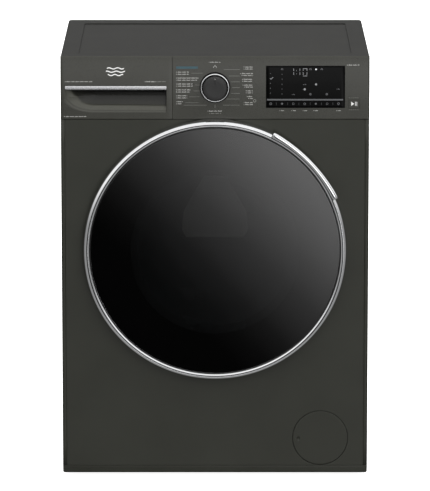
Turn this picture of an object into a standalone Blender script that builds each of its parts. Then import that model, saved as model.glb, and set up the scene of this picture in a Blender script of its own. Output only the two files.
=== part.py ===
"""Front load washing machine, as an assembly of separate pieces.

Metres, +Z up. The front faces -Y, X runs to the right of someone facing the door,
and the origin is on the floor, under the middle of the whole machine.
"""

import math

import bmesh
import bpy
from mathutils import Matrix, Vector

# Driving dimensions.
WIDTH = 0.600
HEIGHT = 0.840
BODY_DEPTH = 0.500
DOOR_PROUD = 0.036       # door glass in front of the front panel
REAR_PROUD = 0.020       # hose thread behind the back panel

SHEET = 0.001            # steel panels
PLASTIC = 0.0025         # moulded walls
GAP = 0.0005             # between pieces that meet
STEPS = 32               # sides of a large turned piece
SMALL_STEPS = 16         # sides of a small one

# The body's planes.
FRONT = DOOR_PROUD - (DOOR_PROUD + BODY_DEPTH + REAR_PROUD) / 2
BACK = FRONT + BODY_DEPTH
SIDE = WIDTH / 2

PAN_BOTTOM = 0.0118
PANEL_BOTTOM = 0.0249
FASCIA_BOTTOM = 0.7163
FASCIA_TOP = 0.8393
FASCIA_BACK = FRONT + 0.003
CABINET_TOP = 0.8115
FLANGE = 0.0078          # side panel's return round the front corner

# The drum's axis, which is also the door's centre.
AXIS_Z = 0.4606
PORTHOLE_R = 0.186
DRUM_R = 0.236
TUB_R = 0.250
TUB_WALL = 0.0035
TUB_SPLIT = -0.030
SHAFT_R = 0.0148
PULLEY_R = 0.145
PULLEY_FRONT = 0.200
PULLEY_BACK = 0.216
MOTOR_Z = 0.130
MOTOR_PULLEY_R = 0.0105

# The door.
RING_R = 0.2575
RING_INNER_R = 0.2435
RING_FRONT = FRONT - 0.032
DOOR_BACK = FRONT - 0.0035
COVER_R = 0.2430
FRAME_R = 0.2405
FRAME_INNER_R = 0.1515
HINGE_X = -0.250
HINGE_Y = FRONT - 0.020
LATCH_X = 0.2165
LATCH_Y = FRONT - 0.0125
HANDLE_FROM = math.radians(24)
HANDLE_TO = math.radians(64)
HANDLE_AXIS_R = 0.234
HANDLE_AXIS_Y = FRONT - 0.026
HANDLE_GAP_R = 0.2460    # the ring is cut away outside this, behind the handle

# The control panel.
DRAWER_SEAM = -0.0828
DIAL_Z = 0.7791
DISPLAY = ((0.0983, 0.7385), (0.2527, 0.8216))
BUTTON = ((0.2590, 0.7374), (0.2813, 0.7568))
GRIP = ((-0.2900, 0.7310), (-0.0940, 0.7751))

# The pump and its flap.
FILTER_X = 0.2071
FILTER_Z = 0.0804
FLAP_R = 0.0540
FLAP_HOLE_R = FLAP_R + 0.0008
FLAP_HINGE_X = FILTER_X + FLAP_R - 0.004
FLAP_HINGE_Y = FRONT + 0.0003

# The tub's suspension.
SPRING_X = 0.200
SPRING_Y = 0.030
SPRING_BOTTOM = 0.6306
SPRING_TOP = 0.7955
DAMPER_X = 0.120
DAMPER_Y = 0.020

# The connections at the back.
INLET = (-0.250, 0.765)
DRAIN = (0.250, 0.785)
GLAND = (0.250, 0.700)
VALVE_THREAD_R = 0.0131
FEET = {
    "front_left": (-0.272, FRONT + 0.068),
    "front_right": (0.272, FRONT + 0.068),
    "rear_left": (-0.272, BACK - 0.053),
    "rear_right": (0.272, BACK - 0.053),
}

# name: (colour, roughness, metallic, alpha)
FINISHES = {
    "body_paint": ((0.040, 0.041, 0.034), 0.42, 0.3, 1.0),
    "inner_steel": ((0.55, 0.56, 0.57), 0.45, 0.9, 1.0),
    "panel_plastic": ((0.055, 0.055, 0.047), 0.40, 0.2, 1.0),
    "black_gloss": ((0.006, 0.006, 0.007), 0.10, 0.0, 1.0),
    "black_plastic": ((0.012, 0.012, 0.013), 0.45, 0.0, 1.0),
    "chrome": ((0.80, 0.81, 0.82), 0.08, 1.0, 1.0),
    "satin_trim": ((0.52, 0.53, 0.53), 0.28, 1.0, 1.0),
    "smoked_glass": ((0.010, 0.010, 0.011), 0.05, 0.0, 0.85),
    "clear_glass": ((0.80, 0.85, 0.86), 0.03, 0.0, 0.35),
    "rubber_grey": ((0.22, 0.22, 0.22), 0.60, 0.0, 1.0),
    "rubber_black": ((0.015, 0.015, 0.015), 0.70, 0.0, 1.0),
    "white_plastic": ((0.62, 0.62, 0.60), 0.40, 0.0, 1.0),
    "tub_plastic": ((0.42, 0.43, 0.43), 0.50, 0.0, 1.0),
    "stainless": ((0.60, 0.60, 0.60), 0.22, 1.0, 1.0),
    "aluminium": ((0.62, 0.63, 0.64), 0.38, 1.0, 1.0),
    "concrete": ((0.38, 0.37, 0.35), 0.90, 0.0, 1.0),
    "circuit_green": ((0.03, 0.17, 0.07), 0.40, 0.0, 1.0),
    "worktop": ((0.052, 0.052, 0.046), 0.48, 0.1, 1.0),
}


# ---------------------------------------------------------------- shapes

def make_material(name):
    color, roughness, metallic, alpha = FINISHES[name]
    material = bpy.data.materials.new(name)
    material.use_nodes = True
    shader = material.node_tree.nodes["Principled BSDF"]
    shader.inputs["Base Color"].default_value = (*color, 1.0)
    shader.inputs["Roughness"].default_value = roughness
    shader.inputs["Metallic"].default_value = metallic
    shader.inputs["Alpha"].default_value = alpha
    return material


def add_object(name, data, finish):
    """Put a mesh or curve in the machine's collection, with its finish."""
    obj = bpy.data.objects.new(name, data)
    data.materials.append(MATERIALS[finish])
    MACHINE.objects.link(obj)
    return obj


def box(name, low, high, finish, bevel=0.0):
    """A block between two corners, its edges rounded by a bevel."""
    low, high = Vector(low), Vector(high)
    mesh = bpy.data.meshes.new(name)
    bm = bmesh.new()
    bmesh.ops.create_cube(bm, size=1.0, matrix=Matrix.Diagonal((*(high - low), 1.0)))
    bm.to_mesh(mesh)
    bm.free()
    obj = add_object(name, mesh, finish)
    obj.location = (low + high) / 2
    if bevel:
        rounding = obj.modifiers.new("Rounding", "BEVEL")
        rounding.width = bevel
        rounding.segments = 2
    return obj


def signed_area(points):
    total = 0.0
    for (r0, h0), (r1, h1) in zip(points, points[1:] + points[:1]):
        total += r0 * h1 - r1 * h0
    return total / 2


def turned(name, profile, finish, x=0.0, y=0.0, z=AXIS_Z, along="y", steps=STEPS, wall=0.0, centred=False):
    """Sweep (radius, place on the axis) points round an axis along Y or Z.

    With a wall, the profile is the outside of a shell. Without one it is a whole
    section: a loop for a ring, or a line that starts and ends on the axis.
    """
    points = [(r, -place if along == "y" else place) for r, place in profile]
    if not wall and signed_area(points) > 0:
        points.reverse()
    mesh = bpy.data.meshes.new(name)
    bm = bmesh.new()
    corners = [bm.verts.new((r, 0.0, height)) for r, height in points]
    for start, end in zip(corners, corners[1:]):
        bm.edges.new((start, end))
    on_axis = min(r for r, height in points) < 1e-9
    if not wall and not on_axis:
        bm.edges.new((corners[-1], corners[0]))
    bm.to_mesh(mesh)
    bm.free()
    obj = add_object(name, mesh, finish)
    obj.location = (x, y, z)
    if along == "y":
        obj.location = (x, 0.0, z)
        obj.rotation_euler = (math.pi / 2, 0.0, 0.0)
    sweep = obj.modifiers.new("Sweep", "SCREW")
    sweep.steps = sweep.render_steps = steps
    sweep.use_merge_vertices = True
    sweep.merge_threshold = 0.00001
    if wall:
        shell = obj.modifiers.new("Wall", "SOLIDIFY")
        shell.thickness = wall
        shell.offset = 0.0 if centred else -1.0
        shell.use_even_offset = True
    return obj


def rod(name, x, y, low, high, radius, finish, steps=SMALL_STEPS):
    """A plain upright cylinder."""
    profile = [(0.0, high), (radius, high), (radius, low), (0.0, low)]
    return turned(name, profile, finish, x, y, 0.0, "z", steps)


def bar(name, x, z, front, back, radius, finish, steps=SMALL_STEPS):
    """A plain cylinder lying front to back."""
    profile = [(0.0, front), (radius, front), (radius, back), (0.0, back)]
    return turned(name, profile, finish, x, 0.0, z, "y", steps)


def flat_outline(name, loops, front, back, finish, x=0.0, z=0.0):
    """A flat outline in the XZ plane, solid from front to back."""
    curve = bpy.data.curves.new(name, "CURVE")
    curve.dimensions = "2D"
    curve.fill_mode = "BOTH"
    curve.extrude = (back - front) / 2
    for points in loops:
        spline = curve.splines.new("POLY")
        spline.points.add(len(points) - 1)
        for point, (along_x, along_z) in zip(spline.points, points):
            point.co = (along_x, along_z, 0.0, 1.0)
        spline.use_cyclic_u = True
    obj = add_object(name, curve, finish)
    obj.location = (x, (front + back) / 2, z)
    obj.rotation_euler = (math.pi / 2, 0.0, 0.0)
    return obj


def pipe(name, points, radius, finish, resolution=2):
    """A round wire or hose through the points."""
    curve = bpy.data.curves.new(name, "CURVE")
    curve.dimensions = "3D"
    curve.bevel_depth = radius
    curve.bevel_resolution = resolution
    curve.use_fill_caps = True
    spline = curve.splines.new("POLY")
    spline.points.add(len(points) - 1)
    for point, place in zip(spline.points, points):
        point.co = (*place, 1.0)
    return add_object(name, curve, finish)


def to_mesh_object(obj):
    """Turn a curve object into a welded mesh object, ready to be cut."""
    depsgraph = bpy.context.evaluated_depsgraph_get()
    mesh = bpy.data.meshes.new_from_object(obj.evaluated_get(depsgraph))
    bm = bmesh.new()
    bm.from_mesh(mesh)
    bmesh.ops.remove_doubles(bm, verts=bm.verts, dist=0.00001)
    bm.to_mesh(mesh)
    bm.free()
    name = obj.name
    matrix = obj.matrix_world.copy()
    bpy.data.objects.remove(obj, do_unlink=True)
    solid = bpy.data.objects.new(name, mesh)
    MACHINE.objects.link(solid)
    solid.matrix_world = matrix
    return solid


def combine(obj, tool, operation):
    """Cut or join one solid with another, which then only serves as the tool."""
    MACHINE.objects.unlink(tool)
    CUTTERS.objects.link(tool)
    tool.hide_render = True
    tool.display_type = "WIRE"
    step = obj.modifiers.new(tool.name, "BOOLEAN")
    step.operation = operation
    step.object = tool
    step.solver = "EXACT"
    return obj


def cut(obj, tool):
    return combine(obj, tool, "DIFFERENCE")


def join(obj, tool):
    return combine(obj, tool, "UNION")


def pivot(name, place):
    """An empty on a joint's axis, which carries a moving body."""
    empty = bpy.data.objects.new(name + "_pivot", None)
    empty.location = place
    empty.empty_display_size = 0.03
    MACHINE.objects.link(empty)
    return empty


def carry(empty, *pieces):
    for piece in pieces:
        piece.parent = empty
        piece.matrix_parent_inverse = Matrix.Translation(empty.location).inverted()


def arc(radius, start, end, count, x=0.0, z=0.0):
    """Points on a circle in the XZ plane, from one angle to another."""
    turn = (end - start) / (count - 1)
    angles = [start + turn * i for i in range(count)]
    return [(x + radius * math.cos(a), z + radius * math.sin(a)) for a in angles]


# ---------------------------------------------------------------- cabinet

def side_panel(name, side):
    """A steel side with a narrow return round the front corner."""
    outer, inner, lip = side * SIDE, side * (SIDE - SHEET), side * (SIDE - FLANGE)
    far = side * (SIDE - 2 * FLANGE)
    low, high = (min(outer, lip), FRONT, PANEL_BOTTOM), (max(outer, lip), BACK, CABINET_TOP)
    panel = box(name, low, high, "body_paint")
    hollow_low = (min(inner, far), FRONT + SHEET, 0.0)
    hollow_high = (max(inner, far), BACK + SHEET, HEIGHT)
    cut(panel, box(name + "_hollow", hollow_low, hollow_high, "body_paint"))
    corner_low = (min(outer, far) - 0.01, FRONT - 0.01, FASCIA_BOTTOM - GAP)
    corner_high = (max(outer, far) + 0.01, FASCIA_BACK + GAP, HEIGHT)
    cut(panel, box(name + "_corner", corner_low, corner_high, "body_paint"))
    return panel


def front_panel():
    """The front sheet, with holes for the drum, the pump's flap and the latch."""
    edge = SIDE - FLANGE - GAP
    top = FASCIA_BOTTOM - GAP
    panel = box("front_panel", (-edge, FRONT, PANEL_BOTTOM), (edge, FRONT + SHEET, top), "body_paint")
    before, behind = FRONT - 0.01, FRONT + 0.01
    cut(panel, bar("porthole", 0.0, AXIS_Z, before, behind, PORTHOLE_R, "body_paint", STEPS))
    cut(panel, bar("filter_hole", FILTER_X, FILTER_Z, before, behind, FLAP_HOLE_R, "body_paint", STEPS))
    slot_low = (LATCH_X - 0.0110, before, AXIS_Z - 0.009)
    slot_high = (LATCH_X + 0.0100, behind, AXIS_Z + 0.009)
    cut(panel, box("latch_slot", slot_low, slot_high, "body_paint"))


def back_panel():
    """The rear sheet with its holes, and the pressed cover over the pulley."""
    edge = SIDE - SHEET - GAP
    panel = box("back_panel", (-edge, BACK - SHEET, PANEL_BOTTOM), (edge, BACK, CABINET_TOP), "inner_steel")
    before, behind = BACK - 0.01, BACK + 0.01
    cut(panel, box("service_hole", (-0.155, before, 0.240), (0.155, behind, 0.620), "inner_steel"))
    for name, (x, z), radius in (
        ("inlet_hole", INLET, VALVE_THREAD_R + 0.0012),
        ("drain_hole", DRAIN, 0.0125),
        ("gland_hole", GLAND, 0.0085),
    ):
        cut(panel, bar(name, x, z, before, behind, radius, "inner_steel"))
    half, low, high, stands = 0.170, 0.222, 0.638, 0.0075
    skin, rim = 0.0012, 0.012
    near = BACK + GAP
    cover_low, cover_high = (-half, near, low), (half, BACK + stands, high)
    cover = box("rear_service_cover", cover_low, cover_high, "inner_steel", bevel=0.003)
    pocket_low = (-half + rim, near - 0.01, low + rim)
    pocket_high = (half - rim, BACK + stands - skin, high - rim)
    cut(cover, box("cover_pocket", pocket_low, pocket_high, "inner_steel"))


def base_pan():
    """The moulded floor tray, whose front edge is the plinth."""
    top = PANEL_BOTTOM - GAP
    wall = 0.003
    pan = box("base_pan", (-SIDE, FRONT, PAN_BOTTOM), (SIDE, BACK, top), "panel_plastic", bevel=0.002)
    tray_low = (-SIDE + wall, FRONT + wall, PAN_BOTTOM + wall)
    tray_high = (SIDE - wall, BACK - wall, top + 0.01)
    cut(pan, box("tray", tray_low, tray_high, "panel_plastic"))
    for name, (x, y) in FEET.items():
        cut(pan, rod("foot_hole_" + name, x, y, 0.0, 0.03, 0.0058, "panel_plastic"))


def feet():
    """Levelling feet: a rubber-soled pad on a threaded stud."""
    pad_r, stud_r, flange_r = 0.020, 0.005, 0.012
    for name, (x, y) in FEET.items():
        profile = [
            (0.0, 0.036), (stud_r, 0.036), (stud_r, 0.0112), (flange_r, 0.0112),
            (flange_r, 0.0085), (pad_r, 0.0065), (pad_r, 0.0), (0.0, 0.0),
        ]
        turned("foot_" + name, profile, "rubber_black", x, y, 0.0, "z", SMALL_STEPS)


def worktop():
    """A moulded frame, open below and with a window that shows the board under it."""
    low, front = CABINET_TOP + GAP, FASCIA_BACK + GAP
    plate, skirt = 0.002, 0.003
    frame = box("worktop_frame", (-SIDE, front, low), (SIDE, BACK, HEIGHT), "worktop", bevel=0.0015)
    inside_low = (-SIDE + skirt, front + skirt, low - 0.01)
    inside_high = (SIDE - skirt, BACK - skirt, HEIGHT - plate)
    cut(frame, box("frame_inside", inside_low, inside_high, "worktop"))
    window_low = (-SIDE + 0.0345, FRONT + 0.040, HEIGHT - 0.02)
    window_high = (SIDE - 0.0345, BACK - 0.054, HEIGHT + 0.02)
    cut(frame, box("frame_window", window_low, window_high, "worktop"))
    reach = 0.010
    board_low = (-SIDE + reach, front + reach, 0.8240)
    board_high = (SIDE - reach, BACK - reach, HEIGHT - plate - GAP)
    box("worktop_board", board_low, board_high, "worktop")


def spring_crossbar():
    """The bar across the cabinet that the springs hang from."""
    edge, half = SIDE - SHEET - GAP, 0.015
    low = (-edge, SPRING_Y - half, SPRING_TOP + GAP)
    high = (edge, SPRING_Y + half, SPRING_TOP + GAP + 0.003)
    box("spring_crossbar", low, high, "inner_steel")


# ---------------------------------------------------------------- controls

def control_panel():
    """The fascia right of the drawer, its window and board, and the start key."""
    left = DRAWER_SEAM + GAP
    panel_low, panel_high = (left, FRONT, FASCIA_BOTTOM), (SIDE, FASCIA_BACK, FASCIA_TOP)
    panel = box("control_panel", panel_low, panel_high, "panel_plastic")
    before, behind = FRONT - 0.01, FRONT + 0.01
    cut(panel, bar("dial_hole", 0.0, DIAL_Z, before, behind, 0.0055, "panel_plastic"))
    for name, (low, high) in (("display_hole", DISPLAY), ("button_hole", BUTTON)):
        cut(panel, box(name, (low[0], before, low[1]), (high[0], behind, high[1]), "panel_plastic"))

    low, high = DISPLAY
    window_low = (low[0] + GAP, FRONT + 0.0001, low[1] + GAP)
    window_high = (high[0] - GAP, FASCIA_BACK - 0.0003, high[1] - GAP)
    box("display_window", window_low, window_high, "black_gloss")
    box("control_board", (0.040, FRONT + 0.0155, 0.728), (0.288, FRONT + 0.0215, 0.822), "circuit_green")

    low, high = BUTTON
    button_low = (low[0] + GAP, FRONT - 0.0004, low[1] + GAP)
    button_high = (high[0] - GAP, FRONT + 0.006, high[1] - GAP)
    button = box("start_button", button_low, button_high, "panel_plastic", bevel=0.0004)
    middle = (Vector(button_low) + Vector(button_high)) / 2
    carry(pivot("start_button", middle), button)


def program_dial():
    """The knob, with its skirt and its shaft, in one moulding."""
    profile = [
        (0.0, FRONT - 0.0200), (0.0215, FRONT - 0.0200), (0.0232, FRONT - 0.0180),
        (0.0240, FRONT - 0.0060), (0.0285, FRONT - 0.0045), (0.0300, FRONT - 0.0005),
        (0.0045, FRONT - 0.0005), (0.0045, FRONT + 0.0100), (0.0, FRONT + 0.0100),
    ]
    dial = turned("program_dial", profile, "black_gloss", z=DIAL_Z, steps=32)
    carry(pivot("dial", (0.0, FRONT, DIAL_Z)), dial)


def detergent_drawer():
    """The drawer's front with its finger grip, the trim over it, and the tray."""
    (left, low), (right, high) = GRIP
    floor = FRONT + 0.0270
    lip_top = high + 0.0095
    wall = 0.002
    face_low, face_high = (-SIDE, FRONT, FASCIA_BOTTOM), (DRAWER_SEAM - GAP, FASCIA_BACK, FASCIA_TOP)
    front = box("drawer_front", face_low, face_high, "panel_plastic")
    tub_low = (left - wall, FRONT + 0.0015, low - wall)
    tub_high = (right + wall, floor + wall, lip_top + wall)
    join(front, box("grip_shell", tub_low, tub_high, "panel_plastic"))
    hollow_low, hollow_high = (left, FASCIA_BACK, low), (right, floor, lip_top)
    cut(front, box("grip_hollow", hollow_low, hollow_high, "panel_plastic"))
    mouth_low, mouth_high = (left, FRONT - 0.01, low), (right, FASCIA_BACK + 0.001, high)
    cut(front, box("grip_mouth", mouth_low, mouth_high, "panel_plastic"))

    trim_low = (-0.2906, FRONT - 0.0025, 0.7753)
    trim_high = (-0.0943, FRONT - 0.0003, 0.7838)
    trim = box("drawer_trim", trim_low, trim_high, "satin_trim", bevel=0.0007)

    tray_front, tray_back = floor + wall + GAP, FRONT + 0.2200
    tray_left, tray_right = -0.2840, -0.0980
    tray_low, tray_high = 0.7320, 0.7950
    low, high = (tray_left, tray_front, tray_low), (tray_right, tray_back, tray_high)
    tray = box("drawer_tray", low, high, "white_plastic")
    walls = (tray_left, -0.2360, -0.1600, tray_right)
    for number, (start, end) in enumerate(zip(walls, walls[1:])):
        pocket_low = (start + wall, tray_front + wall, tray_low + wall)
        pocket_high = (end - (wall if end == tray_right else 0.0), tray_back - wall, tray_high + 0.01)
        cut(tray, box("compartment_%d" % number, pocket_low, pocket_high, "white_plastic"))
    carry(pivot("drawer", (-0.1914, FRONT, 0.7778)), front, trim, tray)

    case_front, case_back = floor + wall + 0.001, FRONT + 0.2360
    case_low, case_high = (-0.2900, case_front, 0.7285), (-0.0920, case_back, 0.8085)
    case = box("dispenser_housing", case_low, case_high, "white_plastic")
    hollow_low = (-0.2880, case_front - 0.01, 0.7305)
    hollow_high = (-0.0940, case_back - wall, 0.8065)
    cut(case, box("case_hollow", hollow_low, hollow_high, "white_plastic"))


# ---------------------------------------------------------------- door

def sector(name, inner, outer, start, end, front, back, finish, count=13):
    """Part of a flat ring about the door's centre."""
    points = arc(outer, start, end, count) + arc(inner, end, start, count)
    return flat_outline(name, [points], front, back, finish, z=AXIS_Z)


def door():
    """The chrome ring, the frame behind it, the smoked cover and the glass bowl."""
    deep = RING_FRONT
    ring_profile = [
        (RING_R, DOOR_BACK), (RING_R, deep + 0.0120), (RING_R - 0.0022, deep + 0.0050),
        (RING_R - 0.0060, deep + 0.0006), (RING_R - 0.0100, deep + 0.0008),
        (RING_INNER_R, deep + 0.0050), (RING_INNER_R, deep + 0.0110),
        (RING_INNER_R + 0.0020, deep + 0.0110), (RING_INNER_R + 0.0022, deep + 0.0060),
        (RING_R - 0.0070, deep + 0.0028), (RING_R - 0.0022, deep + 0.0120), (RING_R - 0.0022, DOOR_BACK),
    ]
    ring = turned("door_ring", ring_profile, "chrome", steps=40)
    notch_low = (-SIDE, RING_FRONT + 0.0065, AXIS_Z - 0.042)
    notch_high = (-0.225, FRONT + 0.01, AXIS_Z + 0.042)
    cut(ring, box("hinge_notch", notch_low, notch_high, "chrome"))
    spread = math.radians(0.4)
    start, end = HANDLE_FROM - spread, HANDLE_TO + spread
    before, behind = FRONT - 0.05, FRONT + 0.01
    gap_tool = sector("handle_gap", HANDLE_GAP_R, RING_R + 0.02, start, end, before, behind, "chrome")
    bpy.context.view_layer.update()
    cut(ring, to_mesh_object(gap_tool))

    frame_front = FRONT - 0.020
    shelf = DOOR_BACK - PLASTIC
    frame_profile = [
        (FRAME_INNER_R, DOOR_BACK), (FRAME_R, DOOR_BACK), (FRAME_R, frame_front),
        (FRAME_R - PLASTIC, frame_front), (FRAME_R - PLASTIC, shelf), (FRAME_INNER_R, shelf),
    ]
    frame = turned("door_frame", frame_profile, "black_plastic")
    slot_low = (LATCH_X - 0.0085, FRONT - 0.01, AXIS_Z - 0.009)
    slot_high = (LATCH_X + 0.0085, FRONT, AXIS_Z + 0.009)
    cut(frame, box("frame_slot", slot_low, slot_high, "black_plastic"))

    apex, glass = FRONT - DOOR_PROUD, 0.003
    dome = [(0.0, apex), (0.120, apex + 0.0015), (0.200, apex + 0.0045), (COVER_R, apex + 0.0078)]
    inside = [(r, y + glass) for r, y in reversed(dome)]
    cover = turned("door_cover", dome + inside, "smoked_glass", steps=40)

    flange = shelf - GAP
    bowl_profile = [
        (0.0, -0.1540), (0.098, -0.1590), (0.1245, -0.1735), (0.1420, -0.2070), (0.1450, flange - 0.0035),
        (0.1680, flange - 0.0035), (0.1680, flange), (0.1497, flange), (0.1460, -0.2050),
        (0.1280, -0.1700), (0.1000, -0.1550), (0.0, -0.1500),
    ]
    bowl = turned("door_bowl", bowl_profile, "clear_glass")

    carry(pivot("door", (HINGE_X, HINGE_Y, AXIS_Z)), ring, frame, cover, bowl, door_hinge_arm())


def door_hinge_arm():
    """The plate inside the door, with an eye above and below the bracket's knuckle."""
    half, eye_low = 0.034, 0.0285
    near, far = HINGE_X + 0.0045, -0.205
    front, back = HINGE_Y - 0.0035, HINGE_Y - 0.0005
    arm = box("door_hinge_arm", (near, front, AXIS_Z - half), (far, back, AXIS_Z + half), "stainless")
    for name, low, high in (("upper", eye_low, half), ("lower", -half, -eye_low)):
        low, high = AXIS_Z + low, AXIS_Z + high
        join(arm, rod("eye_" + name, HINGE_X, HINGE_Y, low, high, 0.0048, "stainless"))
        join(arm, box("tab_" + name, (HINGE_X, front, low), (near + 0.004, back, high), "stainless"))
    cut(arm, rod("eye_bore", HINGE_X, HINGE_Y, AXIS_Z - 0.05, AXIS_Z + 0.05, 0.0029, "stainless"))
    return arm


def hinge_bracket():
    """The bracket on the front panel, with its knuckle and pin."""
    plate_low = (HINGE_X + 0.001, FRONT - 0.0020, AXIS_Z - 0.040)
    plate_high = (-0.200, FRONT - 0.0004, AXIS_Z + 0.040)
    bracket = box("hinge_bracket", plate_low, plate_high, "stainless")
    half = 0.028
    arm_low = (HINGE_X + 0.001, HINGE_Y, AXIS_Z - half)
    arm_high = (HINGE_X + 0.005, FRONT - 0.0010, AXIS_Z + half)
    join(bracket, box("bracket_arm", arm_low, arm_high, "stainless"))
    join(bracket, rod("knuckle", HINGE_X, HINGE_Y, AXIS_Z - half, AXIS_Z + half, 0.0040, "stainless"))
    join(bracket, rod("hinge_pin", HINGE_X, HINGE_Y, AXIS_Z - 0.0345, AXIS_Z + 0.0345, 0.0025, "stainless"))


def door_handle():
    """The chrome grip over the ring's upper right, which tilts out to free the latch."""
    inner, outer = 0.2476, 0.2630
    front, back = FRONT - 0.0335, FRONT - 0.0215
    handle = sector("door_handle", inner, outer, HANDLE_FROM, HANDLE_TO, front, back, "chrome")
    middle = (HANDLE_FROM + HANDLE_TO) / 2
    place = (HANDLE_AXIS_R * math.cos(middle), HANDLE_AXIS_Y, AXIS_Z + HANDLE_AXIS_R * math.sin(middle))
    carry(pivot("door_handle", place), handle)


def latch():
    """The hook on the door and the lock that it enters."""
    half = 0.006
    hook_back = FRONT + 0.0130
    hook_low = (LATCH_X - 0.003, LATCH_Y - 0.003, AXIS_Z - half)
    hook_high = (LATCH_X + 0.003, hook_back, AXIS_Z + half)
    hook = box("latch_hook", hook_low, hook_high, "stainless")
    barb_low = (LATCH_X, hook_back - 0.003, AXIS_Z - half)
    barb_high = (LATCH_X + 0.007, hook_back, AXIS_Z + half)
    join(hook, box("barb", barb_low, barb_high, "stainless"))
    carry(pivot("latch_hook", (LATCH_X, LATCH_Y, AXIS_Z)), hook)

    near = FRONT + SHEET + GAP
    lock_low, lock_high = (0.198, near, AXIS_Z - 0.045), (0.240, near + 0.018, AXIS_Z + 0.045)
    lock = box("door_lock", lock_low, lock_high, "white_plastic")
    pocket_low = (LATCH_X - 0.0115, near - 0.01, AXIS_Z - 0.0095)
    pocket_high = (LATCH_X + 0.0105, near + 0.015, AXIS_Z + 0.0095)
    cut(lock, box("lock_pocket", pocket_low, pocket_high, "white_plastic"))


def door_gasket():
    """The rubber bellows between the porthole and the tub's mouth."""
    profile = [
        (PORTHOLE_R - 0.0020, FRONT - 0.0012), (PORTHOLE_R - 0.0020, FRONT + 0.0050),
        (0.1580, FRONT + 0.0085), (0.1575, FRONT + 0.0150), (0.1780, FRONT + 0.0240),
        (0.1800, FRONT + 0.0380), (0.1752, FRONT + 0.0460), (0.1752, FRONT + 0.0655),
    ]
    turned("door_gasket", profile, "rubber_grey", wall=0.0024, centred=True)


# ---------------------------------------------------------------- tub

def tub_shells():
    """The tub's two halves, the ring of ballast in front and the drum's bearing."""
    mouth_r, front_y, back_y = 0.172, -0.171, 0.158
    front_profile = [
        (mouth_r, front_y - 0.021), (mouth_r, front_y), (TUB_R - 0.007, front_y),
        (TUB_R, front_y + 0.008), (TUB_R, TUB_SPLIT - 0.0002),
    ]
    front = turned("tub_front_shell", front_profile, "tub_plastic", wall=TUB_WALL)
    hub_r = 0.034
    rear_profile = [
        (TUB_R, TUB_SPLIT + 0.0002), (TUB_R, back_y - 0.018), (TUB_R - 0.007, back_y - 0.008),
        (hub_r, back_y), (hub_r, back_y + 0.038),
    ]
    rear = turned("tub_rear_shell", rear_profile, "tub_plastic", wall=TUB_WALL)
    for name, side in (("left", -1), ("right", 1)):
        inner, outer = sorted((side * (SPRING_X - 0.008), side * (SPRING_X + 0.008)))
        lug_low = (inner, SPRING_Y - 0.006, 0.606)
        lug_high = (outer, SPRING_Y + 0.006, SPRING_BOTTOM - GAP)
        join(rear, box("lug_" + name, lug_low, lug_high, "tub_plastic"))

    weight = [
        (0.188, front_y - 0.041), (0.252, front_y - 0.041), (0.252, front_y - GAP), (0.188, front_y - GAP),
    ]
    counterweight = turned("front_counterweight", weight, "concrete")
    seat_r = hub_r - TUB_WALL - GAP
    ring = [(SHAFT_R + 0.0004, 0.172), (seat_r, 0.172), (seat_r, 0.188), (SHAFT_R + 0.0004, 0.188)]
    bearing = turned("drum_bearing", ring, "stainless", steps=24)
    return [front, rear, counterweight, bearing]


def heating_element():
    """A U of rod in the narrow space between the drum and the bottom of the tub."""
    radius, half, front, back = 0.2412, 0.034, -0.080, 0.140
    swing = math.asin(half / radius)
    bend = []
    for i in range(9):
        turn = math.pi * i / 8
        angle = swing * math.cos(turn)
        x, z = radius * math.sin(angle), AXIS_Z - radius * math.cos(angle)
        bend.append((x, front - half * math.sin(turn), z))
    start = (bend[0][0], back, bend[0][2])
    end = (bend[-1][0], back, bend[-1][2])
    return pipe("heating_element", [start] + bend + [end], 0.0030, "stainless")


def suspension():
    """Two springs that hold the tub, and two friction dampers under it."""
    coil_r, wire, turns, per_turn = 0.012, 0.0016, 6, 8
    rods = []
    for name, side in (("left", -1), ("right", 1)):
        count = turns * per_turn
        rise = (SPRING_TOP - SPRING_BOTTOM - 2 * wire) / count
        points = []
        for i in range(count + 1):
            angle = 2 * math.pi * i / per_turn
            x = side * SPRING_X + coil_r * math.cos(angle)
            y = SPRING_Y + coil_r * math.sin(angle)
            points.append((x, y, SPRING_BOTTOM + wire + i * rise))
        pipe("suspension_spring_" + name, points, wire, "stainless", resolution=1)

        x = side * DAMPER_X
        sleeve, bore, rod_r = 0.0125, 0.0062, 0.0052
        bottom, top = PAN_BOTTOM + 0.0035, 0.150
        tube = [(0.0, bottom), (sleeve, bottom), (sleeve, top), (bore, top), (bore, 0.080), (0.0, 0.080)]
        turned("damper_cylinder_" + name, tube, "inner_steel", x, DAMPER_Y, 0.0, "z", SMALL_STEPS)
        head_r, head_low, head_high = 0.010, 0.2200, 0.2358
        plunger = [
            (0.0, head_high), (head_r, head_high), (head_r, head_low),
            (rod_r, head_low), (rod_r, 0.095), (0.0, 0.095),
        ]
        rods.append(turned("damper_rod_" + name, plunger, "stainless", x, DAMPER_Y, 0.0, "z", SMALL_STEPS))
    return rods


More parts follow.
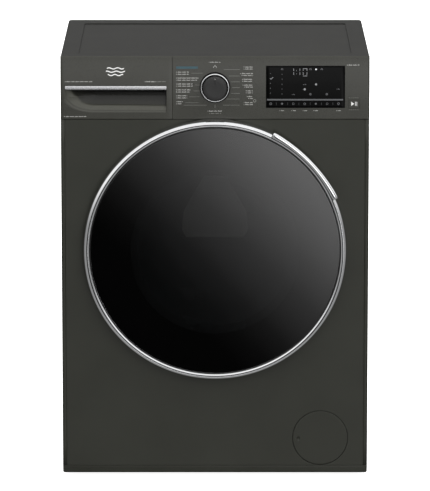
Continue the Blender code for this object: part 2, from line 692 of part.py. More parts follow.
def motor():
    """The motor under the tub, its pulley, and the belt to the drum's pulley."""
    profile = [
        (0.0, 0.020), (0.054, 0.020), (0.062, 0.030), (0.062, 0.160), (0.050, 0.178),
        (0.0066, 0.178), (0.0066, 0.165), (0.0, 0.165),
    ]
    body = turned("motor_body", profile, "inner_steel", z=MOTOR_Z, steps=24)
    for name, low in (("front", 0.040), ("rear", 0.130)):
        lug_high = (0.030, low + 0.020, AXIS_Z - TUB_R - 0.0006)
        join(body, box("motor_lug_" + name, (-0.030, low, MOTOR_Z + 0.045), lug_high, "inner_steel"))

    shaft = [
        (0.0, 0.1655), (0.006, 0.1655), (0.006, PULLEY_FRONT), (MOTOR_PULLEY_R, PULLEY_FRONT),
        (MOTOR_PULLEY_R, PULLEY_BACK), (0.0, PULLEY_BACK),
    ]
    pulley = turned("motor_pulley", shaft, "aluminium", z=MOTOR_Z, steps=SMALL_STEPS)
    carry(pivot("motor", (0.0, PULLEY_FRONT, MOTOR_Z)), pulley)

    clearance, thickness = 0.0008, 0.003
    loops = []
    for extra in (clearance, clearance + thickness):
        large, small = PULLEY_R + extra, MOTOR_PULLEY_R + extra
        lean = math.asin((large - small) / (AXIS_Z - MOTOR_Z))
        over = arc(large, -lean, math.pi + lean, 27, z=AXIS_Z)
        under = arc(small, math.pi + lean, 2 * math.pi - lean, 9, z=MOTOR_Z)
        loops.append(over + under)
    belt = flat_outline("drive_belt", loops, PULLEY_FRONT + 0.002, PULLEY_BACK - 0.002, "rubber_black")
    return [body, belt]


def drum():
    """The drum, its three lifters, and the spider and pulley that turn it."""
    profile = [
        (0.165, -0.147), (0.168, -0.156), (DRUM_R - 0.008, -0.152), (DRUM_R, -0.140),
        (DRUM_R, 0.120), (DRUM_R - 0.008, 0.129), (0.0, 0.124),
    ]
    pieces = [turned("drum", profile, "stainless", wall=0.0012)]

    base, top, height, seat = 0.025, 0.008, 0.040, DRUM_R - 0.0045
    for number in range(3):
        turn = math.radians(90 + 120 * number)
        crest = arc(top, math.pi, 0.0, 5, z=seat - height)
        outline = [(base, seat), (-base, seat)] + [(x, 2 * (seat - height) - z) for x, z in crest]
        cos, sin = math.cos(turn - math.pi / 2), math.sin(turn - math.pi / 2)
        spun = [(x * cos - z * sin, x * sin + z * cos) for x, z in outline]
        name = "drum_lifter_%d" % (number + 1)
        pieces.append(flat_outline(name, [spun], -0.125, 0.105, "tub_plastic", z=AXIS_Z))

    near, hub_r, shaft_end = 0.1305, 0.045, 0.224
    shaft = [
        (0.0, near), (hub_r, near), (hub_r, near + 0.0125), (SHAFT_R, near + 0.016),
        (SHAFT_R, shaft_end), (0.0, shaft_end),
    ]
    spider = turned("drum_spider", shaft, "aluminium", steps=24)
    for number in range(3):
        arm_low, arm_high = (-0.014, near, 0.030), (0.014, near + 0.0115, 0.215)
        arm = box("spider_arm_%d" % number, arm_low, arm_high, "aluminium")
        spin = Matrix.Rotation(math.radians(60 + 120 * number), 4, "Y")
        arm.matrix_world = Matrix.Translation((0.0, 0.0, AXIS_Z)) @ spin @ Matrix.Translation(arm.location)
        join(spider, arm)
    pieces.append(spider)

    bore, hub, rim = SHAFT_R + 0.0004, 0.030, 0.004
    web_front, web_back = PULLEY_FRONT + 0.0065, PULLEY_FRONT + 0.0095
    wheel = [
        (bore, PULLEY_FRONT - 0.001), (hub, PULLEY_FRONT - 0.001), (hub, web_front),
        (PULLEY_R - rim, web_front),
        (PULLEY_R - rim, PULLEY_FRONT), (PULLEY_R, PULLEY_FRONT), (PULLEY_R, PULLEY_BACK),
        (PULLEY_R - rim, PULLEY_BACK), (PULLEY_R - rim, web_back), (bore, web_back),
    ]
    pieces.append(turned("drum_pulley", wheel, "aluminium"))
    carry(pivot("drum", (0.0, 0.0, AXIS_Z)), *pieces)


# ---------------------------------------------------------------- water

def filter_flap():
    """The round flap in front of the pump's filter."""
    flap_back = FRONT + 0.0030
    profile = [
        (0.0, FRONT), (FLAP_R - 0.0008, FRONT), (FLAP_R, FRONT + 0.0008),
        (FLAP_R, flap_back), (0.0, flap_back),
    ]
    flap = turned("filter_cover", profile, "body_paint", FILTER_X, 0.0, FILTER_Z)
    carry(pivot("filter_cover", (FLAP_HINGE_X, FLAP_HINGE_Y, FILTER_Z)), flap)


def drain_pump():
    """The pump: a filter chamber open at the front, with the motor behind it."""
    mouth, floor, rear = FRONT + 0.018, -0.142, -0.066
    chamber = [
        (0.0, floor), (0.031, floor), (0.031, mouth), (0.036, mouth),
        (0.036, floor + 0.004), (0.030, floor + 0.008), (0.030, rear), (0.0, rear),
    ]
    chamber = turned("drain_pump", chamber, "tub_plastic", FILTER_X, 0.0, FILTER_Z, steps=24)
    foot_low = (FILTER_X - 0.025, -0.190, PAN_BOTTOM + 0.0035)
    foot_high = (FILTER_X + 0.025, -0.165, FILTER_Z - 0.033)
    join(chamber, box("pump_foot", foot_low, foot_high, "tub_plastic"))

    cap_front = FRONT + 0.0085
    plug_profile = [
        (0.0, cap_front), (0.0345, cap_front), (0.0345, mouth - GAP), (0.0300, mouth - GAP),
        (0.0300, -0.190), (0.0240, -0.186), (0.0240, -0.150), (0.0, -0.150),
    ]
    plug = turned("pump_filter_plug", plug_profile, "black_plastic", FILTER_X, 0.0, FILTER_Z, steps=24)
    grip_low = (FILTER_X - 0.026, FRONT + 0.0040, FILTER_Z - 0.004)
    grip_high = (FILTER_X + 0.026, cap_front + 0.001, FILTER_Z + 0.004)
    join(plug, box("plug_grip", grip_low, grip_high, "black_plastic"))
    carry(pivot("pump_filter_plug", (FILTER_X, cap_front, FILTER_Z)), plug)

    start = Vector((0.105, -0.085, 0.2268))
    end = Vector((FILTER_X, -0.160, FILTER_Z + 0.0368))
    stub = Vector((0.0, 0.0, 0.012))
    route = [start]
    for i in range(8):
        t = i / 7
        place = (start - stub).lerp(end + stub, t * t * (3 - 2 * t))
        place.z = (start - stub).lerp(end + stub, t).z
        route.append(place)
    route.append(end)
    pipe("sump_hose", route, 0.014, "rubber_black")


def connections():
    """The filling bellows, the inlet valve, the drain spigot and the cord's gland."""
    x, y, low, high = -0.170, -0.050, 0.6640, 0.7278
    folds = 3
    profile = [(0.0, high), (0.015, high)]
    for i in range(1, 2 * folds):
        profile.append((0.018 if i % 2 else 0.015, high + (low - high) * i / (2 * folds)))
    profile += [(0.015, low), (0.011, low), (0.011, high - 0.004), (0.0, high - 0.004)]
    turned("filling_hose", profile, "rubber_black", x, y, 0.0, "z", SMALL_STEPS)

    x, z = INLET
    tip, shoulder = BACK + REAR_PROUD, BACK - SHEET - GAP
    thread = [
        (0.0, shoulder - 0.030), (0.018, shoulder - 0.030), (0.018, shoulder), (VALVE_THREAD_R, shoulder),
        (VALVE_THREAD_R, tip), (0.0095, tip), (0.0095, tip - 0.012), (0.0, tip - 0.012),
    ]
    valve = turned("inlet_valve", thread, "white_plastic", x, 0.0, z, steps=SMALL_STEPS)
    coil_low = (x - 0.016, shoulder - 0.060, z - 0.022)
    coil_high = (x + 0.016, shoulder - 0.020, z + 0.022)
    join(valve, box("valve_coil", coil_low, coil_high, "white_plastic"))

    for name, (x, z), radius, flange, reach in (
        ("drain_outlet", DRAIN, 0.0115, 0.018, 0.019),
        ("mains_gland", GLAND, 0.0078, 0.012, 0.012),
    ):
        bore = radius - 0.003
        spigot = [
            (bore, shoulder - 0.006), (flange, shoulder - 0.006), (flange, shoulder),
            (radius, shoulder), (radius, BACK + reach), (bore, BACK + reach),
        ]
        turned(name, spigot, "black_plastic", x, 0.0, z, steps=SMALL_STEPS)


def build():
    side_panel("side_panel_left", -1)
    side_panel("side_panel_right", 1)
    front_panel()
    back_panel()
    base_pan()
    feet()
    worktop()
    spring_crossbar()
    control_panel()
    program_dial()
    detergent_drawer()
    door()
    hinge_bracket()
    door_handle()
    latch()
    door_gasket()
    hanging = tub_shells() + [heating_element()] + suspension() + motor()
    carry(pivot("tub", (0.0, 0.0, AXIS_Z)), *hanging)
    drum()
    filter_flap()
    drain_pump()
    connections()


for leftover in list(bpy.data.objects):
    bpy.data.objects.remove(leftover, do_unlink=True)
MACHINE = bpy.data.collections.new("washing_machine")
CUTTERS = bpy.data.collections.new("cutters")
for group in (MACHINE, CUTTERS):
    bpy.context.scene.collection.children.link(group)
MATERIALS = {name: make_material(name) for name in FINISHES}
build()
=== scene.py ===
import math

import bmesh
import bpy
from mathutils import Matrix, Vector


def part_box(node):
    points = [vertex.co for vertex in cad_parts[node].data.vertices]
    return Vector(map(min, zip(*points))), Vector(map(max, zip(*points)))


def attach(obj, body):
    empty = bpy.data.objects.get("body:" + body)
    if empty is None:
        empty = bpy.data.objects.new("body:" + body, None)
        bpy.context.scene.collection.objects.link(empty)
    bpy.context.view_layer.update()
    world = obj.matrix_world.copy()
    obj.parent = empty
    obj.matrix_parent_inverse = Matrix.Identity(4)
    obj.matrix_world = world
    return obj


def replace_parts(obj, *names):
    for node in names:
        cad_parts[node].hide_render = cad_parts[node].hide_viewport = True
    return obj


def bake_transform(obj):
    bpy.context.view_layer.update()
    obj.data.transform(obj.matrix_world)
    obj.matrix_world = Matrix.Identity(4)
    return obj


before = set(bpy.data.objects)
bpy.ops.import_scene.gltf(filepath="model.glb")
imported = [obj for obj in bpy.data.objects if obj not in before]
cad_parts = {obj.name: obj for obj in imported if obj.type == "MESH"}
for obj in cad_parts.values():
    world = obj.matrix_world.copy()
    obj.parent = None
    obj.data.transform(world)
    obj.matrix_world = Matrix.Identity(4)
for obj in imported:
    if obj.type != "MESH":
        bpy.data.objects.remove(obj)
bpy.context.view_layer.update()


def centre(node, axis):
    """The middle of a CAD node's box along one axis: 0, 1 or 2 for X, Y or Z."""
    low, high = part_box(node)
    return (low[axis] + high[axis]) / 2


# The body's planes and the main centres, all from the frame.
(_, FRONT, PANEL_LOW), (PANEL_EDGE, _, PANEL_HIGH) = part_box("front_panel")
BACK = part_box("back_panel")[1][1]
SIDE, _, CABINET_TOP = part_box("side_panel_right")[1]
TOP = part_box("worktop_frame")[1][2]
SEAM_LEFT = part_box("drawer_front")[1][0]
SEAM_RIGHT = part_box("control_panel")[0][0]
AXIS_Z = centre("door_ring", 2)
DIAL_Z = centre("program_dial", 2)
FLAP_X, FLAP_Z = centre("filter_cover", 0), centre("filter_cover", 2)
FASCIA_REAR = FRONT + 0.009


# ---------------------------------------------------------------- finishes

def srgb(red, green, blue):
    """A display colour, 0 to 255, as linear light."""
    linear = []
    for value in (red / 255, green / 255, blue / 255):
        linear.append(value / 12.92 if value <= 0.04045 else ((value + 0.055) / 1.055) ** 2.4)
    return (*linear, 1.0)


def add_node(tree, kind, **settings):
    """A shader node, with its sockets and properties set by name."""
    node = tree.nodes.new(kind)
    for key, value in settings.items():
        if key in node.inputs:
            node.inputs[key].default_value = value
        else:
            setattr(node, key, value)
    return node


def remap(tree, source, low, high, out_low=0.0, out_high=1.0, **settings):
    """Carry a socket's range from low..high over to out_low..out_high."""
    node = add_node(tree, "ShaderNodeMapRange", **settings)
    for key, value in (("From Min", low), ("From Max", high), ("To Min", out_low), ("To Max", out_high)):
        node.inputs[key].default_value = value
    tree.links.new(source, node.inputs["Value"])
    return node.outputs["Result"]


def procedural(name, low, high, rough, metallic=0.0, scale=30.0, stretch=(1, 1, 1), relief=0.04,
               relief_scale=900.0, sockets=None):
    """A finish whose colour, gloss and fine relief come from noise in the object's own space."""
    material = bpy.data.materials.new(name)
    material.use_nodes = True
    tree = material.node_tree
    link = tree.links.new
    shader = tree.nodes["Principled BSDF"]
    shader.inputs["Metallic"].default_value = metallic
    for socket, value in (sockets or {}).items():
        shader.inputs[socket].default_value = value
    coords = add_node(tree, "ShaderNodeTexCoord")
    mapping = add_node(tree, "ShaderNodeMapping", Scale=stretch)
    mottle = add_node(tree, "ShaderNodeTexNoise", Scale=scale, Detail=6.0)
    grain = add_node(tree, "ShaderNodeTexNoise", Scale=relief_scale, Detail=3.0)
    tint = add_node(tree, "ShaderNodeMix", data_type="RGBA")
    bump = add_node(tree, "ShaderNodeBump", Strength=relief, Distance=0.0003)
    tint.inputs[6].default_value = low
    tint.inputs[7].default_value = high
    link(coords.outputs["Object"], mapping.inputs["Vector"])
    for texture in (mottle, grain):
        link(mapping.outputs["Vector"], texture.inputs["Vector"])
    link(remap(tree, mottle.outputs["Fac"], 0.3, 0.7), tint.inputs[0])
    link(tint.outputs[2], shader.inputs["Base Color"])
    link(remap(tree, grain.outputs["Fac"], 0.3, 0.7, *rough), shader.inputs["Roughness"])
    link(grain.outputs["Fac"], bump.inputs["Height"])
    link(bump.outputs["Normal"], shader.inputs["Normal"])
    return material


FINISHES, SLOT_OF = {}, {}
SHINE = "Specular IOR Level"


def finish(name, low, high, rough, slot=None, shine=0.5, glow=None, sockets=None, **noise):
    """Add a finish: two display colours, a roughness range and the slot that it counts as."""
    sockets = {SHINE: shine, **(sockets or {})}
    if glow:
        sockets.update({"Emission Color": srgb(*glow[0]), "Emission Strength": glow[1]})
    FINISHES[name] = procedural(name, srgb(*low), srgb(*high), rough, sockets=sockets, **noise)
    SLOT_OF[name] = slot or name


def printed(name, low, high, rough=(0.5, 0.6), scale=300.0, glow=None):
    """Add an ink or a lit figure, which counts as white plastic. An ink given a glow carries a painted glow.
    """
    finish(name, low, high, rough, "white_plastic", glow=glow, scale=scale, relief=0.02)


finish("body_paint", (44, 45, 38), (48, 49, 42), (0.36, 0.44), shine=0.35, scale=14.0, relief=0.05)
finish("panel_plastic", (55, 55, 49), (59, 59, 53), (0.26, 0.31), shine=0.4, scale=18.0, relief=0.03)
finish("worktop", (45, 45, 43), (49, 49, 47), (0.48, 0.56), shine=0.25, scale=20.0, relief=0.1,
       relief_scale=1400.0)
finish("worktop_board", (46, 46, 44), (50, 50, 48), (0.46, 0.54), shine=0.25, scale=22.0, relief=0.1,
       relief_scale=1600.0)
finish("inner_steel", (168, 171, 172), (196, 198, 198), (0.38, 0.52), metallic=0.85, scale=70.0,
       relief=0.05, relief_scale=240.0)
finish("stainless", (196, 197, 198), (214, 215, 216), (0.16, 0.3), metallic=1.0, scale=60.0,
       stretch=(1, 14, 1), relief=0.05, relief_scale=300.0)
finish("aluminium", (176, 178, 180), (202, 204, 206), (0.34, 0.5), metallic=1.0, scale=120.0,
       relief=0.15, relief_scale=500.0)
finish("chrome", (226, 227, 228), (236, 237, 238), (0.05, 0.09), metallic=1.0, scale=9.0, relief=0.01,
       relief_scale=60.0)
finish("satin_trim", (206, 207, 209), (218, 218, 220), (0.24, 0.3), metallic=1.0, scale=12.0,
       stretch=(1, 8, 8), relief=0.01, relief_scale=200.0)
finish("black_gloss", (8, 8, 8), (11, 11, 11), (0.08, 0.12), shine=0.05, scale=25.0, relief=0.01,
       relief_scale=80.0)
finish("black_plastic", (24, 24, 24), (30, 30, 30), (0.42, 0.54), scale=60.0, relief=0.12)
finish("smoked_glass", (6, 6, 6), (8, 8, 8), (0.02, 0.03), shine=1.0, scale=5.0, relief=0.0,
       relief_scale=20.0, sockets={"IOR": 1.53, "Alpha": 0.68})
finish("clear_glass", (180, 188, 190), (196, 203, 204), (0.03, 0.06), shine=0.8, scale=6.0, relief=0.01,
       relief_scale=30.0, sockets={"Alpha": 0.4})
finish("rubber_grey", (112, 113, 114), (126, 127, 128), (0.52, 0.66), scale=45.0, relief=0.1)
finish("rubber_black", (26, 26, 26), (36, 36, 36), (0.62, 0.78), scale=60.0, relief=0.15)
finish("white_plastic", (208, 209, 206), (220, 221, 218), (0.34, 0.42), relief=0.05)
finish("tub_plastic", (166, 168, 168), (182, 184, 184), (0.42, 0.56), scale=50.0, relief=0.1)
finish("concrete", (150, 147, 140), (178, 175, 168), (0.82, 0.95), scale=140.0, relief=0.55,
       relief_scale=500.0)
finish("circuit_green", (22, 84, 44), (34, 104, 56), (0.28, 0.4), scale=160.0, relief=0.12,
       relief_scale=420.0)
printed("print_light", (194, 194, 190), (206, 206, 202))
printed("print_faint", (140, 141, 136), (152, 153, 147))
# White ink with a faint painted glow, which makes it brighter than the lamps alone; it is no lamp.
printed("print_white_painted_glow", (232, 232, 230), (242, 242, 240), (0.4, 0.5), glow=((240, 240, 240), 0.15))
printed("print_teal", (56, 88, 98), (66, 98, 108), scale=120.0)
printed("lit_bright", (225, 226, 228), (238, 238, 240), glow=((235, 236, 240), 0.45))
printed("lit_dim", (96, 97, 99), (108, 109, 111))
printed("lit_mid", (158, 159, 161), (170, 171, 173))
finish("knob_grey", (50, 50, 50), (54, 54, 54), (0.38, 0.46), "black_plastic", 0.25, scale=60.0, relief=0.05)


# ---------------------------------------------------------------- mesh tools

def add_piece(name, bm, finish, body, smooth=32.0):
    """Turn a bmesh into a named piece that rides on a body, if one is given."""
    bmesh.ops.remove_doubles(bm, verts=bm.verts, dist=1e-6)
    bmesh.ops.recalc_face_normals(bm, faces=bm.faces)
    mesh = bpy.data.meshes.new(name)
    bm.to_mesh(mesh)
    bm.free()
    mesh.materials.append(FINISHES[finish])
    mesh.shade_smooth()
    mesh.set_sharp_from_angle(angle=math.radians(smooth))
    obj = bpy.data.objects.new(name, mesh)
    bpy.context.scene.collection.objects.link(obj)
    if body:
        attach(obj, body)
    return obj


def lathe(bm, profile, x=0.0, z=AXIS_Z, steps=96, start=0.0, end=360.0, wobble=None):
    """Sweep a closed loop of (radius, y) round an axis along Y. wobble(angle) scales the radii."""
    full = abs(end - start) >= 360.0
    count = steps if full else steps + 1
    rings = []
    for i in range(count):
        angle = math.radians(start + (end - start) * i / steps)
        grow = wobble(angle) if wobble else 1.0
        ring = []
        for radius, y in profile:
            reach = radius * grow
            ring.append(bm.verts.new((x + reach * math.cos(angle), y, z + reach * math.sin(angle))))
        rings.append(ring)
    size = len(profile)
    pairs = zip(rings, rings[1:] + rings[:1]) if full else zip(rings, rings[1:])
    for one, two in pairs:
        for j in range(size):
            k = (j + 1) % size
            bm.faces.new((one[j], one[k], two[k], two[j]))
    if not full:
        bm.faces.new(rings[0])
        bm.faces.new(list(reversed(rings[-1])))
    return bm


def turned(name, profile, finish, body, smooth=32.0, **where):
    """A piece swept from one closed profile."""
    return add_piece(name, lathe(bmesh.new(), profile, **where), finish, body, smooth)


def shifted(origin, profile):
    """A profile of (radius, y), moved along Y to an origin."""
    return [(radius, origin + y) for radius, y in profile]


def upright(bm, profile, x, y, steps=32):
    """Sweep a closed loop of (radius, z) round an upright axis."""
    rings = []
    for i in range(steps):
        angle = 2 * math.pi * i / steps
        cosine, sine = math.cos(angle), math.sin(angle)
        rings.append([bm.verts.new((x + r * cosine, y + r * sine, z)) for r, z in profile])
    for one, two in zip(rings, rings[1:] + rings[:1]):
        for j in range(len(profile)):
            k = (j + 1) % len(profile)
            bm.faces.new((one[j], two[j], two[k], one[k]))
    return bm


def loft(bm, loops, cap=True):
    """Join loops of equally many points, one after another, and close the two ends."""
    rows = [[bm.verts.new(point) for point in loop] for loop in loops]
    for one, two in zip(rows, rows[1:]):
        for j in range(len(one)):
            k = (j + 1) % len(one)
            bm.faces.new((one[j], one[k], two[k], two[j]))
    if cap:
        bm.faces.new(list(reversed(rows[0])))
        bm.faces.new(rows[-1])
    return bm


def rounded(low, high, radius, corner_steps=6):
    """A rectangle with round corners, as (u, v) points that run anticlockwise."""
    (u0, v0), (u1, v1) = low, high
    points = []
    for cu, cv, turn in (
        (u1 - radius, v1 - radius, 0), (u0 + radius, v1 - radius, 90),
        (u0 + radius, v0 + radius, 180), (u1 - radius, v0 + radius, 270),
    ):
        for i in range(corner_steps + 1):
            angle = math.radians(turn + 90 * i / corner_steps)
            points.append((cu + radius * math.cos(angle), cv + radius * math.sin(angle)))
    return points


def shrunk(low, high, radius, ease=0.0):
    """The outline of a rounded rectangle, as a function of how far it is inset."""
    return lambda inset: rounded(
        (low[0] + inset, low[1] + inset), (high[0] - inset, high[1] - inset), radius - ease * inset)


def stacked(levels, outline):
    """A block whose outline at each level of (inset, z) comes from a function of the inset."""
    return loft(bmesh.new(), [[(x, y, z) for x, y in outline(inset)] for inset, z in levels])


def rectangle(x, half, y0, y1, z):
    """A level rectangle, as a loop for a loft."""
    return [(x - half, y0, z), (x + half, y0, z), (x + half, y1, z), (x - half, y1, z)]


def circle(x, z, radius, steps=96):
    """Points round a circle, as (u, v)."""
    angles = [2 * math.pi * i / steps for i in range(steps)]
    return [(x + radius * math.cos(a), z + radius * math.sin(a)) for a in angles]


def slab(bm, low, high, radius, y0, y1, edge=0.0005, corner_steps=5):
    """A plate in the XZ plane with round corners and softened front and back edges."""
    (x0, z0), (x1, z1) = low, high
    inner = rounded((x0 + edge, z0 + edge), (x1 - edge, z1 - edge), max(radius - edge, 1e-5), corner_steps)
    outer = rounded(low, high, radius, corner_steps)
    loops = []
    for y, outline in ((y0, inner), (y0 + edge, outer), (y1 - edge, outer), (y1, inner)):
        loops.append([(x, y, z) for x, z in outline])
    return loft(bm, loops)


def plate(bm, outline, holes, front, back):
    """A flat sheet in the XZ plane with holes through it."""
    edges = []
    for loop in [outline] + holes:
        verts = [bm.verts.new((x, front, z)) for x, z in loop]
        for one, two in zip(verts, verts[1:] + verts[:1]):
            edges.append(bm.edges.new((one, two)))
    made = bmesh.ops.triangle_fill(bm, use_beauty=True, use_dissolve=False, edges=edges, normal=(0, -1, 0))
    faces = [item for item in made["geom"] if isinstance(item, bmesh.types.BMFace)]
    moved = bmesh.ops.extrude_face_region(bm, geom=faces)
    for item in moved["geom"]:
        if isinstance(item, bmesh.types.BMVert):
            item.co.y = back
    return bm


def soften(obj, width, segments):
    """Round the hard edges of a piece."""
    bevel = obj.modifiers.new("Soft edges", "BEVEL")
    bevel.width = width
    bevel.segments = segments
    bevel.limit_method = "ANGLE"
    bevel.angle_limit = math.radians(35)
    bevel.harden_normals = True


def thicken(obj, thickness, inwards):
    """Give a sheet its thickness, on the side that its faces point away from if inwards is true."""
    wall = obj.modifiers.new("Wall", "SOLIDIFY")
    wall.thickness = thickness
    wall.offset = -1.0 if inwards else 1.0
    wall.use_even_offset = False
    return obj


def skin(obj, thickness, outward):
    """Thicken a sheet whose visible side faces outward."""
    largest = max(obj.data.polygons, key=lambda face: face.area)
    return thicken(obj, thickness, largest.normal.dot(outward) > 0)


def settle(obj):
    """Replace a piece's mesh with what its modifiers make of it."""
    made = bpy.data.meshes.new_from_object(obj.evaluated_get(bpy.context.evaluated_depsgraph_get()))
    obj.modifiers.clear()
    obj.data = made
    return obj


def carve(obj, *tools):
    """Cut scratch shapes out of a piece and throw them away."""
    for number, bm in enumerate(tools):
        bmesh.ops.recalc_face_normals(bm, faces=bm.faces)
        mesh = bpy.data.meshes.new("tool")
        bm.to_mesh(mesh)
        bm.free()
        tool = bpy.data.objects.new("tool_%d" % number, mesh)
        bpy.context.scene.collection.objects.link(tool)
        step = obj.modifiers.new("Cut", "BOOLEAN")
        step.object = tool
        step.operation = "DIFFERENCE"
        step.solver = "EXACT"
        bpy.context.view_layer.update()
        settle(obj)
        bpy.data.objects.remove(tool, do_unlink=True)
    obj.data.shade_smooth()
    obj.data.set_sharp_from_angle(angle=math.radians(32))
    return obj


def spaced(low, high, step):
    """Evenly spaced places from low to high, no further apart than step."""
    count = max(1, math.ceil((high - low) / step - 1e-6))
    return [low + (high - low) * i / count for i in range(count + 1)]


def merged(*runs):
    """One rising list of places from several, without near repeats."""
    places = []
    for value in sorted(v for run in runs for v in run):
        if not places or value - places[-1] > 1e-5:
            places.append(value)
    return places


def smoothstep(value):
    """Ease a value from 0 to 1, and hold it at either end."""
    value = min(1.0, max(0.0, value))
    return value * value * (3 - 2 * value)


def interpolate(table, value):
    """Piecewise-linear look-up in a rising table of (key, result)."""
    if value <= table[0][0]:
        return table[0][1]
    for (k0, r0), (k1, r1) in zip(table, table[1:]):
        if value <= k1:
            return r0 + (r1 - r0) * (value - k0) / (k1 - k0)
    return table[-1][1]


def relief_sheet(us, vs, place, keep=None):
    """A grid of faces over us by vs, where place(u, v) gives each point."""
    bm = bmesh.new()
    rows = [[bm.verts.new(place(u, v)) for u in us] for v in vs]
    for j in range(len(vs) - 1):
        for i in range(len(us) - 1):
            if keep is None or keep((us[i] + us[i + 1]) / 2, (vs[j] + vs[j + 1]) / 2):
                bm.faces.new((rows[j][i], rows[j][i + 1], rows[j + 1][i + 1], rows[j + 1][i]))
    loose = [v for v in bm.verts if not v.link_faces]
    bmesh.ops.delete(bm, geom=loose, context="VERTS")
    return bm


def pressing(u, v, low, high, radius, slope):
    """How far into a pressed rounded rectangle a point is: 0 outside, 1 on its floor."""
    half_u, half_v = (high[0] - low[0]) / 2, (high[1] - low[1]) / 2
    du = abs(u - (low[0] + high[0]) / 2) - half_u + radius
    dv = abs(v - (low[1] + high[1]) / 2) - half_v + radius
    inside = min(max(du, dv), 0.0) + math.hypot(max(du, 0.0), max(dv, 0.0)) - radius
    return smoothstep(-inside / slope)


# ---------------------------------------------------------------- cabinet

def across_pressing(low, high, wide):
    """Places over a pressing: close together near its two edges and wide apart between them."""
    fine = 0.03
    return merged(
        spaced(low, low + fine, 0.003), spaced(low + fine, high - fine, wide),
        spaced(high - fine, high, 0.003))


def side_panel(name, side):
    """A pressed steel side, folded round the front corner and in at the back."""
    corner, flange, depth = 0.0045, SIDE - PANEL_EDGE - 0.0002, 0.0018
    rear_fold = 0.01
    press_low, press_high = (FRONT + 0.06, 0.1), (BACK - 0.05, 0.75)
    arc_length = corner * math.pi / 2
    flat = flange - corner
    length = BACK - FRONT - corner
    ys = merged(
        (FRONT + 0.0095,), spaced(FRONT + corner, press_low[0], 0.03),
        across_pressing(press_low[0], press_high[0], 0.04), spaced(press_high[0], BACK, 0.03))
    us = merged(
        (0.0, flat), [flat + arc_length * i / 6 for i in range(1, 7)],
        [flat + arc_length + (y - FRONT - corner) for y in ys], (flat + arc_length + length + rear_fold,))
    vs = merged(
        (PANEL_LOW, PANEL_HIGH, CABINET_TOP), spaced(PANEL_LOW, press_low[1], 0.04),
        across_pressing(press_low[1], press_high[1], 0.05))

    def place(u, v):
        if u <= flat:
            return (side * (SIDE - flange + u), FRONT, v)
        if u <= flat + arc_length:
            turn = (u - flat) / corner
            x = SIDE - corner + corner * math.sin(turn)
            return (side * x, FRONT + corner - corner * math.cos(turn), v)
        run = u - flat - arc_length
        if run > length + 1e-6:
            return (side * (SIDE - rear_fold), BACK, v)
        y = FRONT + corner + run
        pressed = pressing(y, v, press_low, press_high, 0.022, 0.007)
        return (side * (SIDE - depth * pressed), y, v)

    start = flat + arc_length + 0.005
    bm = relief_sheet(us, vs, place, lambda u, v: v < PANEL_HIGH or u > start)
    return skin(add_piece(name, bm, "body_paint", "cabinet", 25.0), 0.0009, Vector((side, 0, 0)))


def front_panel():
    """The front sheet, its porthole turned inwards, a well for the filter flap and a rail at the top."""
    outline = rounded((-PANEL_EDGE, PANEL_LOW), (PANEL_EDGE, PANEL_HIGH), 0.0012, 2)
    holes = [
        circle(0.0, AXIS_Z, 0.186, 128), circle(FLAP_X, FLAP_Z, 0.0548, 96),
        rounded((0.2055, AXIS_Z - 0.009), (0.2265, AXIS_Z + 0.009), 0.002, 3)]
    bm = plate(bmesh.new(), outline, holes, FRONT, FRONT + 0.001)
    sheet = add_piece("front_sheet", bm, "body_paint", "cabinet")
    soften(sheet, 0.0003, 2)
    lip = shifted(FRONT, [(0.1862, 0.0002), (0.1862, 0.006), (0.1852, 0.006), (0.1852, 0.001)])
    turned("porthole_lip", lip, "body_paint", "cabinet", steps=128)
    well = shifted(FRONT, [
        (0.0552, 0.0004), (0.0552, 0.006), (0.04, 0.006), (0.04, 0.0072), (0.0564, 0.0072),
        (0.0564, 0.0011)])
    turned("filter_well", well, "black_plastic", "cabinet", x=FLAP_X, z=FLAP_Z, steps=64)
    rail = slab(bmesh.new(), (-0.285, 0.7), (0.285, 0.7161), 0.001, FRONT + 0.0012, FRONT + 0.004)
    add_piece("front_rail", rail, "black_plastic", "cabinet")
    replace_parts(sheet, "front_panel")


def plinth():
    """The floor tray, whose front shows a fine groove, with stiffening ribs below."""
    low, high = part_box("base_pan")
    groove, base = 0.0004, low[2] - 0.0022
    section = [
        (0.0022, base), (0.0006, base + 0.0009), (0.0002, base + 0.0022), (0.0, 0.019),
        (groove, 0.0193), (groove, 0.0199), (0.0, 0.0202), (0.0, high[2] - 0.0002), (0.0002, high[2]),
    ]
    bm = stacked(section, shrunk(low, high, 0.0045, 0.5))
    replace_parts(add_piece("base_tray", bm, "body_paint", "cabinet", 25.0), "base_pan")
    bm = bmesh.new()
    for x in (-0.2, -0.1, 0.0, 0.1, 0.2):
        edges = ((base + 0.0005, 0.002), (base - 0.0025, 0.0012))
        loft(bm, [rectangle(x, half, -0.16, 0.17, z) for z, half in edges])
    add_piece("base_ribs", bm, "panel_plastic", "cabinet")


def feet():
    """Levelling feet: a grooved rubber pad, a hexagon and a threaded stud."""
    pad = [
        (1e-4, 0.0), (0.0185, 0.0), (0.0198, 0.0012), (0.0198, 0.0026), (0.019, 0.003), (0.0198, 0.0034),
        (0.0198, 0.0052), (0.0185, 0.0064), (0.013, 0.0074), (1e-4, 0.0074),
    ]
    nut = [
        (1e-4, 0.0074), (0.0112, 0.0074), (0.012, 0.0082), (0.012, 0.0105), (0.0112, 0.0113), (1e-4, 0.0113)]
    stud = [(1e-4, 0.007), (0.0052, 0.007)]
    for turn in range(14):
        height = 0.012 + 0.0016 * turn
        stud += [(0.0052, height), (0.0046, height + 0.0008)]
    stud += [(0.0046, 0.0355), (1e-4, 0.0358)]
    for name in ("front_left", "front_right", "rear_left", "rear_right"):
        x, y = centre("foot_" + name, 0), centre("foot_" + name, 1)
        bm = bmesh.new()
        for profile, steps in ((pad, 40), (stud, 20), (nut, 6)):
            upright(bm, profile, x, y, steps)
        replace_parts(add_piece("levelling_foot_" + name, bm, "rubber_black", "cabinet"), "foot_" + name)


